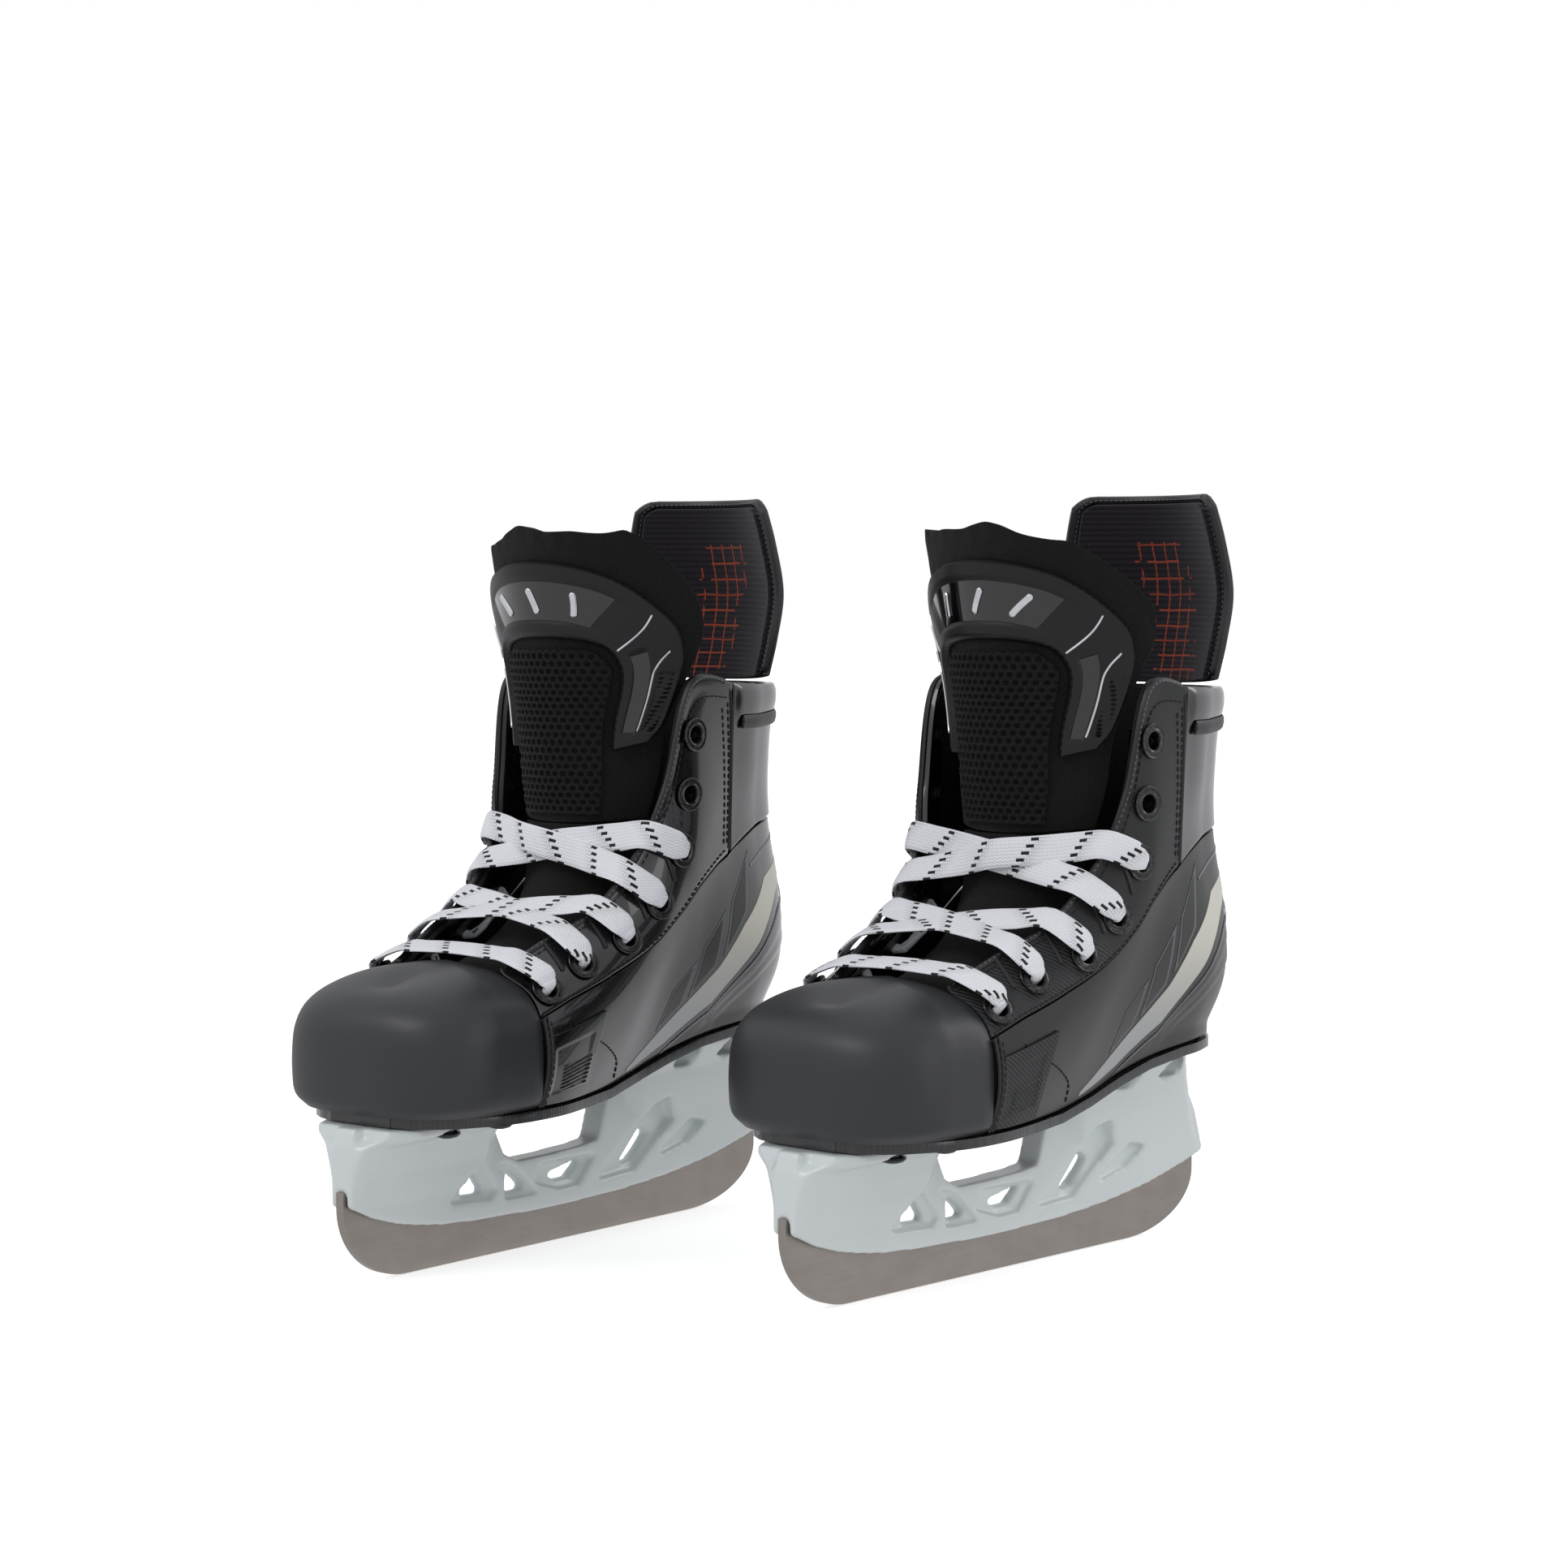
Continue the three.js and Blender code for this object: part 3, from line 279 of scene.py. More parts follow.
SOLE_LINE = [(-101, 0), (-48, 0), (-30, 0.02), (-14, 0.08), (2, 0.28), (18, 0.56), (34, 0.8),
             (52, 0.94), (68, 1), (100, 1.02)]
SOLE_OUTLINE = [(-97, 12), (-95, 19), (-91, 25), (-85, 30), (-77, 34), (-68, 36.8), (-58, 37.6),
                (-44, 36.6), (-30, 34.2), (-14, 32), (2, 30.6), (18, 29.8), (40, 29.6),
                (60, 28.8), (71, 25.4), (79, 19.6), (84, 13), (87, 7)]
TOE_PROFILE = [(0.95, 0), (1.035, 0.08), (1.056, 0.24), (1.055, 0.42), (1.032, 0.59),
               (0.955, 0.74), (0.805, 0.85), (0.575, 0.93), (0.3, 0.975), (0, 1)]
RIBS = [
    [(0, 87, 66), (0, 96, 91), (0, 90, 135), (0, 86.5, 160), (0, 87, 183)],
    [(19, 79, 66), (23, 86.5, 91), (21, 80, 135), (24, 75.5, 160), (27, 75, 183)],
    [(28, 62, 66), (34, 65, 92), (30.5, 60, 132), (34, 56.5, 158), (38, 54, 183)],
    [(29, 38, 63.5), (36.5, 40, 90), (35.5, 41, 124), (38, 39, 155), (41.5, 36, 184)],
    [(29.2, 19, 59.5), (36.5, 21, 84), (38.5, 25, 112), (41, 23, 142), (41.5, 16, 184)],
    [(30.2, 3, 54.8), (37, 5, 78), (40, 11, 100), (41, 15, 124), (39, 8, 150)],
    [(31.6, -14, 51.5), (38.5, -12, 72), (41, -6, 90), (40.5, 1, 108), (34, 0, 128)],
    [(34, -30, 50.4), (39.5, -29, 68), (41.5, -25, 83), (38.5, -21, 97.5), (30, -18, 110)],
    [(36.4, -45, 50), (40.5, -45, 65), (41, -44, 78), (36, -41.5, 91), (26, -38, 101.5)],
]


def smooth_row(rows, t):
    """The smooth curve through rows of numbers, at parameters t from 0 to len(rows) - 1."""
    rows, t = np.asarray(rows, float), np.asarray(t, float)
    ends = np.concatenate([[2 * rows[0] - rows[1]], rows, [2 * rows[-1] - rows[-2]]])
    i = np.clip(np.floor(t).astype(int), 0, len(rows) - 2)
    a, b, c, d = (ends[i + k] for k in range(4))
    w = (t - i)[..., None]
    return 0.5 * (2 * b + (c - a) * w + (2 * a - 5 * b + 4 * c - d) * w**2
                  + (3 * b - a - 3 * c + d) * w**3)


def table(rows, key):
    """Straight interpolation of (key, value) rows."""
    rows = np.asarray(rows, float)
    return np.interp(key, rows[:, 0], rows[:, 1])


def bump_of(x, a, b):
    """0 below a, 1 above b, and smooth between them."""
    share = np.clip((x - a) / (b - a), 0, 1)
    return share ** 2 * (3 - 2 * share)


def distances(path):
    """How far along a path each of its points lies."""
    return np.concatenate([[0], np.cumsum(np.linalg.norm(np.diff(path, axis=0), axis=1))])


sole_top = lambda y: SOLE + HEEL_PITCH * table(SOLE_LINE, y)
lift_of = lambda z: SOLE + (z - 50) * RISE
unit = lambda a: a / np.linalg.norm(a, axis=-1, keepdims=True)
level = lambda v: lambda u: v + 0 * u          # a border of the skin at one height v

# %% The toe box and the skin through the ribs
def toe_point(p, s, out=0.0):
    """Toe box: p 0 outer seam, 0.5 front, 1 inner seam; s 0 sole, 1 crown."""
    p, s, out = np.broadcast_arrays(*(np.asarray(a, float) for a in (p, s, out)))
    reach, height = np.moveaxis(smooth_row(TOE_PROFILE, s * 9), -1, 0)
    across, ahead = np.cos(np.pi * p), np.abs(np.sin(np.pi * p))
    spine_y, spine_z = -58 - 24 * ahead**2, 95 - 6.5 * ahead**2
    edge_x = 38.5 * np.sign(across) * np.abs(across) ** (2 / 3.1)
    edge_y = -58 - 43 * ahead ** (2 / 3.1)
    grow = 1 + out / 40
    z = 50 + (spine_z - 50) * height + out * height
    return np.stack([edge_x * reach * grow, spine_y + (edge_y - spine_y) * reach * grow,
                     lift_of(z)], -1)


seam_rib = toe_point(0, np.array([0, 0.24, 0.42, 0.6, 0.78]))
seam_rib[:, 2] = 50 + (seam_rib[:, 2] - SOLE) / RISE
all_ribs = np.array(RIBS + [seam_rib.tolist()], float)


def rib(k):
    row, i, level = all_ribs[abs(k)].copy(), abs(k), np.arange(5) / 4
    if k < 0:                       # the inner side: tucked arch, facing further forward
        row[:, 0] -= 3 * max(0, 1 - abs(i - 5) / 2.6) * (1 - level)
        row[:, 1] -= 6 * max(0, 1 - abs(i - 5.5) / 3.5) * level**2
        row[:, 0] *= -1
    return row


def padded_net():
    net = np.array([rib(k) for k in range(-9, 10)])
    net = np.concatenate([[2 * net[0] - net[1]], net, [2 * net[-1] - net[-2]]])
    return np.concatenate([2 * net[:, :1] - net[:, 1:2], net, 2 * net[:, -1:] - net[:, -2:-1]], 1)


NET = padded_net()


def skin(u, v):
    u, v = np.broadcast_arrays(np.asarray(u, float), np.asarray(v, float))
    i = np.clip(np.floor(u).astype(int), -9, 8)
    j = np.clip(np.floor(v).astype(int), 0, 3)
    share = lambda t: [(-t + 2 * t * t - t**3) / 2, (2 - 5 * t * t + 3 * t**3) / 2,
                       (t + 4 * t * t - 3 * t**3) / 2, (t**3 - t * t) / 2]
    a, b = share((u - i)[..., None]), share((v - j)[..., None])
    p = sum(a[x] * b[y] * NET[i + 9 + x, j + y] for x in range(4) for y in range(4))
    p[..., 2] = lift_of(p[..., 2])
    return p


def skin_normal(u, v, e=0.02):
    du = skin(np.minimum(u + e, 9), v) - skin(np.maximum(u - e, -9), v)
    dv = skin(u, np.minimum(v + e, 4)) - skin(u, np.maximum(v - e, 0))
    return unit(np.cross(dv, du))


def boot(u, v, d=0.0):
    """A point of the boot at depth d outside its skin."""
    u, v = np.broadcast_arrays(np.asarray(u, float), np.asarray(v, float))
    return skin(u, v) + skin_normal(u, v) * np.asarray(d, float)[..., None]


print("boot is", round(float(skin(0, 1)[1] - toe_point(0.5, 0.3)[1]), 1), "mm long")

# %% [markdown]
# ## From points to pieces
#
# Most pieces are sheets with a thickness, so one helper makes a closed wall from an outer and
# an inner grid of points and gives it a UV map in metres. `bevel_edges` then runs Blender's
# Bevel over the sharp borders, because a cut edge of leather or plastic is never sharp.
# `set_down` puts a finished mesh where the left skate stands, makes its mirrored twin, rides
# each on its body and hides the CAD solid it stands for.

# %% Meshes from grids
def mesh_of(name, points, faces, uv=None):
    """A mesh object from points in millimetres, with one UV per point, in metres."""
    data = bpy.data.meshes.new(name)
    data.from_pydata((np.asarray(points, float).reshape(-1, 3) / 1000).tolist(), [], faces)
    if uv is not None:
        layer = data.uv_layers.new(name="UVMap")
        index = np.zeros(len(data.loops), int)
        data.loops.foreach_get("vertex_index", index)
        layer.data.foreach_set("uv", np.asarray(uv, float).reshape(-1, 2)[index].ravel())
    obj = bpy.data.objects.new(name, data)
    bpy.context.scene.collection.objects.link(obj)
    return obj


def outward(obj, merge=2e-6):
    """Doubles merged, and faces turned outwards."""
    shape = bmesh.new()
    shape.from_mesh(obj.data)
    if merge:
        bmesh.ops.remove_doubles(shape, verts=shape.verts, dist=merge)
    bmesh.ops.recalc_face_normals(shape, faces=shape.faces)
    shape.to_mesh(obj.data)
    shape.free()
    return obj


def wall(name, outer, inner, uv):
    """A closed wall between two grids of the same shape."""
    n, m = outer.shape[:2]
    points = np.concatenate([outer.reshape(-1, 3), inner.reshape(-1, 3)])
    at = lambda i, j, k: k * n * m + i * m + j
    faces = []
    for i in range(n - 1):
        for j in range(m - 1):
            faces.append((at(i, j, 0), at(i + 1, j, 0), at(i + 1, j + 1, 0), at(i, j + 1, 0)))
            faces.append((at(i, j, 1), at(i, j + 1, 1), at(i + 1, j + 1, 1), at(i + 1, j, 1)))
        for j in (0, m - 1):
            faces.append((at(i, j, 0), at(i, j, 1), at(i + 1, j, 1), at(i + 1, j, 0)))
    for i in (0, n - 1):
        faces += [(at(i, j, 0), at(i, j + 1, 0), at(i, j + 1, 1), at(i, j, 1))
                  for j in range(m - 1)]
    uv = np.asarray(uv, float).reshape(-1, 2) / 1000
    return outward(mesh_of(name, points, faces, np.concatenate([uv, uv])))


def only(obj):
    """Select one object alone and make it active."""
    bpy.ops.object.select_all(action="DESELECT")
    obj.select_set(True)
    bpy.context.view_layer.objects.active = obj
    return obj


def finish_with(obj, kind, **settings):
    """Add a modifier and apply it."""
    only(obj)
    made = obj.modifiers.new(kind.lower(), kind)
    for key, value in settings.items():
        setattr(made, key, value)
    bpy.ops.object.modifier_apply(modifier=made.name)
    return obj


def bevel_edges(obj, width, segments=2, angle=40):
    return finish_with(obj, "BEVEL", width=width / 1000, segments=segments, limit_method="ANGLE",
                       angle_limit=math.radians(angle), use_clamp_overlap=True)


def merge(name, objects):
    """Several meshes as one piece."""
    only(objects[0])
    for other in objects[1:]:
        other.select_set(True)
    if len(objects) > 1:
        bpy.ops.object.join()
    objects[0].name = name
    return objects[0]


pieces = {}


def set_down(obj, body, finish, nodes=(), smooth=35):
    """The left piece and its mirrored right twin, on their bodies."""
    name = obj.name
    obj.data.materials.append(finish.material)
    only(obj)
    bpy.ops.object.shade_smooth_by_angle(angle=math.radians(smooth))
    twin = obj.copy()
    twin.data = obj.data.copy()
    bpy.context.scene.collection.objects.link(twin)
    for foot, one in (("left", obj), ("right", twin)):
        one.data.transform(STAND[foot])
        if foot == "right":
            one.data.flip_normals()
        one.name = one.data.name = f"{foot}_{name}"
        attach(one, f"{foot}_{body}")
        if nodes:
            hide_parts(*[f"{foot}_{n}" for n in nodes])
        pieces[one.name] = one
    return obj, twin


def skin_wall(name, us, low, high, nv, d_in, d_out, relief=None):
    """Part of the boot wall between two depths; relief(u, v, share up) adds to the outside."""
    up = np.linspace(0, 1, nv + 1)
    U = np.repeat(us[:, None], nv + 1, 1)
    lo, hi = low(us), high(us)
    V = lo[:, None] + (hi - lo)[:, None] * up
    out = d_out + (relief(U, V, np.broadcast_to(up, U.shape)) if relief else 0 * U)
    side = skin(U, V)
    return wall(name, boot(U, V, out), boot(U, V, d_in + 0 * U), side[..., 1:3])


print("helpers ready")

# %% [markdown]
# ## Eyelets: where they sit
#
# Each facing has seven eyelets. Their places are known from the side, so each is found on the
# skin by trying a fine grid of (u, v) and keeping the closest point, as the CAD does.

# %% Places of the fourteen eyelets
EYELETS = [(-51, 87), (-33, 94.2), (-13.5, 101), (2, 111.6), (13, 128.1), (16, 146.9),
           (17.5, 167.5)]


def find_on_skin(side, y, z):
    U, V = np.meshgrid(side * np.arange(2.6, 9.001, 0.05), np.arange(1.5, 4.001, 0.05),
                       indexing="ij")
    p = skin(U, V)
    k = np.unravel_index(np.hypot(p[..., 1] - y, p[..., 2] - z).argmin(), U.shape)
    return U[k], V[k]


def eyelet_places(side):
    found = []
    for i, (y, z) in enumerate(EYELETS):
        u, v = find_on_skin(side, y - (3.3 * min(1, i / 2) if side < 0 else 0), lift_of(z))
        rim_u = side * np.arange(4.1, 9.001, 0.05)
        rim = skin(rim_u, 4.0)
        near = np.linalg.norm(rim - skin(u, v), axis=1).argmin()
        found.append(dict(u=u, v=v, at=skin(u, v), out=skin_normal(u, v), rim=rim[near],
                          rim_out=skin_normal(rim_u[near], 3.95)))
    return found


outer_eyelets, inner_eyelets = eyelet_places(1), eyelet_places(-1)
print("top outer eyelet", outer_eyelets[6]["at"].round(1))

# %% The tongue's surface, which the lace lies on
TONGUE = [
    (-54, 88, 15, 4, 78), (-42, 94, 17, 5, 70), (-28, 100, 19, 7, 62), (-15, 108.5, 21, 9.5, 48),
    (-7.5, 120, 23, 12, 24), (-6.5, 136, 26, 15, 3), (-8, 152, 29.5, 19, 0),
    (-10, 170, 31.5, 23, 0), (-11, 186, 37, 28, 0), (-13.5, 204, 43, 32, 4),
    (-16, 220, 42, 28, 6), (-19, 236, 33, 15, 6)]


def tongue(t, f, out=0.0):
    """Tongue: t row from the toe end 0 to the top 11, f -1 inner edge to 1 outer edge."""
    t, f = np.broadcast_arrays(np.asarray(t, float), np.asarray(f, float))
    y, z, half, back, tilt = np.moveaxis(smooth_row(TONGUE, t), -1, 0)
    a = np.radians(tilt)
    face = np.stack([0 * a, -np.cos(a), np.sin(a)], -1)
    side = np.stack([2 * back * f / half, 0 * a, 0 * a], -1)
    return (np.stack([f * half, y, lift_of(z)], -1) - face * (back * f * f)[..., None]
            + unit(face + side) * np.asarray(out, float)[..., None])


print("tongue top at", tongue(11, 0).round(1))

# %% [markdown]
# ## Lace
#
# One flat woven lace, 9.5 mm wide: a bar over the bottom eyelets, then crossings up to the
# fifth pair, with both ends inside the boot. It is a cord, so its centreline and its width are
# settled first, and the mesh is a flat section carried along that line. Its weave and its
# black ticks follow the UV map: U is the distance along the lace, V runs across it.

# %% The lace's route
LACE_W, LACE_T, CLEAR = 9.5, 1.6, 1.75


def over_tongue(p, lift):
    """Lift a lace point off the tongue, and say which way is out."""
    t = np.arange(0, 6.01, 0.05)
    f = np.clip(p[0] / smooth_row(TONGUE, t)[:, 2], -1, 1)
    on = tongue(t, f)
    k = np.hypot(on[:, 1] - p[1], on[:, 2] - p[2]).argmin()
    out = unit(tongue(t[k], f[k], 1) - on[k])
    height = (p - on[k]) @ out
    return (p + out * (lift - height) if height < lift else p), out


def lace_run(a, b, lift):
    """Rows (point, width direction, width, thickness) out of eyelet a, across, into b."""
    run = unit(b["at"] - a["at"])

    def leaving(e, sign):
        to_rim = e["rim"] - e["at"]
        to_rim = unit(to_rim - e["out"] * (to_rim @ e["out"]))
        return to_rim, unit(np.cross(e["out"], to_rim) * sign)

    rim_a, wide_a = leaving(a, 1)
    rim_b, wide_b = leaving(b, -1)
    top = PROUD + 1.25

    def end(e, rim, wide):
        at = lambda d, k=0: e["at"] + e["out"] * d + rim * k
        return [(at(-7.6), wide, 3.6, 2.2), (at(top + 0.3, 0.2), wide, 4.2, 2.3),
                (at(top + 1.5, 1.8), wide, 6.6, LACE_T), (at(top + 1.5, 5.6), wide, LACE_W, LACE_T)]

    pa = a["rim"] + a["rim_out"] * 2.6 + rim_a * 1.2
    pb = b["rim"] + b["rim_out"] * 2.6 + rim_b * 1.2
    rows = end(a, rim_a, wide_a) + [(pa, wide_a, LACE_W, LACE_T)]
    for t in (0.15, 0.32, 0.5, 0.68, 0.85):
        shade = math.sin(math.pi * t)
        p = pa + (pb - pa) * t + np.array([0, -0.5, 0.86]) * 1.2 * shade
        p, out = over_tongue(p, lift * shade + LACE_T / 2 + CLEAR)
        wide = unit(wide_a + (wide_b - wide_a) * t)
        cross = unit(np.cross(out, run))
        cross *= 1 if cross @ wide > 0 else -1
        rows.append((p, unit(wide + (cross - wide) * shade), LACE_W, LACE_T))
    return rows + [(pb, wide_b, LACE_W, LACE_T)] + end(b, rim_b, wide_b)[::-1]


def lace_rows():
    L, M = outer_eyelets, inner_eyelets

    def half(a, b, low, high):
        return lace_run(a[1], b[2], low) + lace_run(b[3], a[4], high)

    def tail(e):
        return [(e["at"] - e["out"] * (8 + 3 * i) + np.array([0, 0.5 * d, -0.6 * d]),
                 np.array([0, 1.0, 0]), 6 if i else 4, LACE_T) for i, d in enumerate((7, 20, 34))]

    return (tail(M[4])[::-1] + half(M, L, 2.6, 0.2)[::-1] + lace_run(M[0], L[0], 0.4)
            + half(L, M, 0.2, 2.6) + tail(L[4]))


def flat_cord(rows, per_row=4, sides=14):
    """Smooth stations along the rows, each with a rounded flat section; returns grids."""
    points = np.array([r[0] for r in rows])
    wide = [rows[0][1]]
    for r in rows[1:]:
        wide.append(r[1] if r[1] @ wide[-1] > 0 else -r[1])
    t = np.linspace(0, len(rows) - 1, (len(rows) - 1) * per_row + 1)
    line = smooth_row(points, t)
    wide = smooth_row(wide, t)
    size = np.array([np.interp(t, np.arange(len(rows)), [r[k] for r in rows]) for k in (2, 3)]).T
    along = unit(np.gradient(line, axis=0))
    wide = unit(wide - along * np.sum(wide * along, 1, keepdims=True))
    out = np.cross(along, wide)
    a = np.linspace(0, 2 * np.pi, sides, endpoint=False)
    across, deep = np.sign(np.cos(a)) * np.abs(np.cos(a)) ** 0.5, np.sin(a)
    ring = (line[:, None] + wide[:, None] * (across[None, :, None] * size[:, None, :1] / 2)
            + out[:, None] * (deep[None, :, None] * size[:, None, 1:] / 2))
    far = distances(line)
    uv = np.stack([np.repeat(far[:, None], sides, 1), across[None] * size[:, :1] / 2], -1)
    return line, ring, uv, far[-1]


lace_line, lace_ring, lace_uv, lace_long = flat_cord(lace_rows())
print("lace length", round(lace_long), "mm")


def tube_mesh(name, ring, uv):
    """A closed tube through rings of points."""
    n, m = ring.shape[:2]
    at = lambda i, j: i * m + j % m
    faces = [(at(i, j), at(i, j + 1), at(i + 1, j + 1), at(i + 1, j))
             for i in range(n - 1) for j in range(m)]
    faces += [tuple(at(0, j) for j in range(m))[::-1], tuple(at(n - 1, j) for j in range(m))]
    return outward(mesh_of(name, ring, faces, np.asarray(uv) / 1000), 0)


# %% The woven finish: white, with groups of black ticks and grey streaks beside them
woven = Finish("white_woven_lace", Roughness=0.85, Sheen_Weight=0.15)
along, across, _ = woven.parts(woven.place("UV"))
GROUP = 17.5                                    # millimetres from one group of ticks to the next
course = across * 950.0                         # about nine courses of yarn across
step = course.floor()
shifted = (along * 1000 - step * 0.85) / GROUP
in_group = shifted.fract() * GROUP
in_course = (course * 0.5).fract()
tick = (in_group < 2.6) * (in_course > 0.5)
weave = ((along * 1000 * 2.1 + course * 3.14).wave() * (course * 3.1416).wave()).size()
streak = (1 - in_group.ease(2.4, 8.0)) * (course.fract() > 0.45) * (in_group > 2.6)
streak = streak * ((along * 1250).fract() > 0.35)
yarn = woven.mix(weave * 0.35, paint("f3f4f8"), paint("d9dbe4"))
yarn = woven.mix(streak * 0.62, yarn, paint("8d8882"))
woven.set(Base_Color=woven.mix(tick, yarn, paint("101013")))
woven.relief(weave, 0.00025, 0.8)

# %% Lace mesh, set down as two cords
left_lace, right_lace = set_down(tube_mesh("woven_lace", lace_ring, lace_uv), "skate", woven,
                                 ["lace"], smooth=60)
for foot, one in (("left", left_lace), ("right", right_lace)):
    route = [list(STAND[foot] @ Vector(p / 1000)) for p in lace_line]
    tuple(route[0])
    lace_long / 1000
print("laces", len(left_lace.data.polygons), "faces each")

# %% [markdown]
# ## Black finishes of the boot
#
# Nearly everything is black, so the materials differ by gloss and by grain: rubbery matt cap,
# brushed graphite quarter, patent film, fine-ribbed facing. Patent is a dark base under a
# clear coat with a slow waviness, because film over foam is never optically flat.

# %% Leather, rubber and patent
def toned(name, dark, light, rough, scale=700, depth=0.00004, slow=9, **sockets):
    """A two-tone surface with fine grain and slow variation."""
    made = Finish(name, **sockets)
    where = made.place()
    fine, broad = made.noise(where, scale, 4, 0.6), made.noise(where, slow, 3)
    made.set(Base_Color=made.mix(broad * 0.7 + fine * 0.3, paint(dark), paint(light)),
             Roughness=rough + (fine - 0.5) * 0.12 + (broad - 0.5) * 0.1)
    made.relief(fine, depth)
    return made


cap_rubber = toned("cap_rubber", "242527", "333436", 0.46, 900, 0.00003, 14, Coat_Weight=0.12,
                   Coat_Roughness=0.32)
graphite = Finish("quarter_graphite", Metallic=0.25, Coat_Weight=0.35, Coat_Roughness=0.22)
fine = graphite.noise(graphite.stretch(graphite.place(), (1, 1, 9)), 420, 4, 0.7)
side_y, side_z, _ = graphite.parts(graphite.place("UV"))
# Painted reflection: the base colour turns lighter low on the quarter and towards the heel,
# standing in for the gloss there.
painted_heel_reflection = (1 - side_z.ease(0.058, 0.125)) * side_y.ease(-0.075, 0.03)
graphite.set(Base_Color=graphite.mix(painted_heel_reflection * 0.85 + fine * 0.12, paint("151616"), paint("3f3e3c")),
             Roughness=0.36 + (fine - 0.5) * 0.14)
graphite.relief(fine, 0.00003)


def patent(name, dark, wave=0.0006, **sockets):
    made = Finish(name, Coat_Weight=1.0, Coat_Roughness=0.04, **sockets)
    where = made.place()
    slow, speck = made.noise(where, 34, 2), made.noise(where, 1600, 3)
    made.set(Base_Color=made.mix(speck * 0.3, paint(dark), paint("1a1b1e")),
             Roughness=0.2 + speck * 0.12)
    made.relief(slow + speck * 0.01, wave)
    return made


black_patent = patent("black_patent", "08080a")
facing_matt = Finish("ribbed_facing", Coat_Weight=0.1, Coat_Roughness=0.4, Specular_IOR_Level=0.4)
fy, fz, _ = facing_matt.parts(facing_matt.place("UV"))
low_part = (1 - fz.ease(0.100, 0.116)) * (1 - fy.ease(-0.012, 0.006))
ribs = ((fy * 0.55 + fz * 0.83) * 5200).wave() * 0.5 + 0.5
fine = facing_matt.noise(facing_matt.place(), 800, 4, 0.6)
facing_matt.set(Base_Color=facing_matt.mix(fine * 0.5 + ribs * low_part * 0.35, paint("1a1b1c"),
                                           paint("2b2c2d")), Roughness=0.5 + (fine - 0.5) * 0.15)
facing_matt.relief(ribs * low_part + fine * 0.12, 0.00022)

thread = toned("black_thread", "0c0c0d", "28282a", 0.75, 2600, 0.00005)
silver_thread = toned("grey_thread", "4d4e52", "9a9ba0", 0.6, 2600, 0.00005)
binding = toned("edge_binding", "121214", "232326", 0.38, 1500, 0.00006)
print("finishes", len(bpy.data.materials))

# %% [markdown]
# ## Stitching and piping
#
# One stitch is a short swollen strand, modelled once from a cylinder: a ring is cut round its
# middle and swollen, and its ends are drawn in. `stitch_row` copies its points along a path,
# turned with the surface, with a gap between stitches as a lockstitch leaves.

# %% One stitch, and rows of it
bpy.ops.object.select_all(action="DESELECT")
bpy.ops.mesh.primitive_cylinder_add(vertices=6, radius=0.5, depth=1.0, rotation=(0, math.pi / 2, 0))
bpy.ops.object.transform_apply(rotation=True)
one_stitch = bpy.context.object
bpy.ops.object.mode_set(mode="EDIT")
bpy.ops.mesh.select_all(action="SELECT")
bpy.ops.mesh.bisect(plane_co=(0, 0, 0), plane_no=(1, 0, 0))
bpy.ops.object.mode_set(mode="OBJECT")
for vertex in one_stitch.data.vertices:
    swell = 1.0 if abs(vertex.co.x) < 0.1 else 0.5
    vertex.co.y *= swell
    vertex.co.z *= swell
STITCH = np.array([v.co for v in one_stitch.data.vertices])
STITCH_FACES = [tuple(p.vertices) for p in one_stitch.data.polygons]
bpy.data.objects.remove(one_stitch)


def stitch_row(path, out, pitch=2.4, long=1.7, thick=0.62):
    """Stitches along a dense path of points with outward directions."""
    far = distances(path)
    at = np.linspace(0, far[-1], max(2, int(round(far[-1] / pitch)) + 1))
    take = lambda a, s: np.stack([np.interp(s, far, a[:, k]) for k in range(3)], -1)
    mid = (at[1:] + at[:-1]) / 2
    run = unit(take(path, mid + 0.3) - take(path, mid - 0.3))
    up = take(out, mid)
    up = unit(up - run * np.sum(up * run, 1, keepdims=True))
    side = np.cross(up, run)
    shape = STITCH * (long, thick, thick)
    points = (take(path, mid)[:, None] + run[:, None] * shape[None, :, :1]
              + side[:, None] * shape[None, :, 1:2] + up[:, None] * shape[None, :, 2:])
    k = len(STITCH)
    faces = [tuple(i + n * k for i in f) for n in range(len(mid)) for f in STITCH_FACES]
    return points.reshape(-1, 3), faces


def stitches(name, rows, **size):
    """Several rows of stitches as one mesh; rows are (path, outward directions)."""
    points, faces = [], []
    for path, out in rows:
        p, f = stitch_row(path, out, **size)
        start = sum(len(q) for q in points)
        points.append(p)
        faces += [tuple(i + start for i in face) for face in f]
    return outward(mesh_of(name, np.concatenate(points), faces), 0)


def piping(path, out, radius, sides=8, flat=1.0):
    """Rings of a round or flattened bead along a path."""
    along = unit(np.gradient(path, axis=0))
    up = unit(out - along * np.sum(out * along, 1, keepdims=True))
    side = np.cross(up, along)
    a = np.linspace(0, 2 * np.pi, sides, endpoint=False)
    taper = np.ones(len(path))
    taper[[0, -1]] = 0.45
    wide, tall = np.cos(a)[:, None] * radius, np.sin(a)[:, None] * radius * flat
    ring = (path[:, None] + side[:, None] * wide[None] * taper[:, None, None]
            + up[:, None] * tall[None] * taper[:, None, None])
    uv = np.stack([np.repeat(distances(path)[:, None], sides, 1),
                   np.repeat(a[None] * radius, len(path), 0)], -1)
    return ring, uv


def beads(name, rows):
    """Several beads as one mesh; rows are (path, out, radius) or (path, out, radius, flat)."""
    return merge(name, [tube_mesh(f"{name}_{i}", *piping(r[0], r[1], r[2], 8, r[3] if len(r) > 3
                 else 1.0)) for i, r in enumerate(rows)])


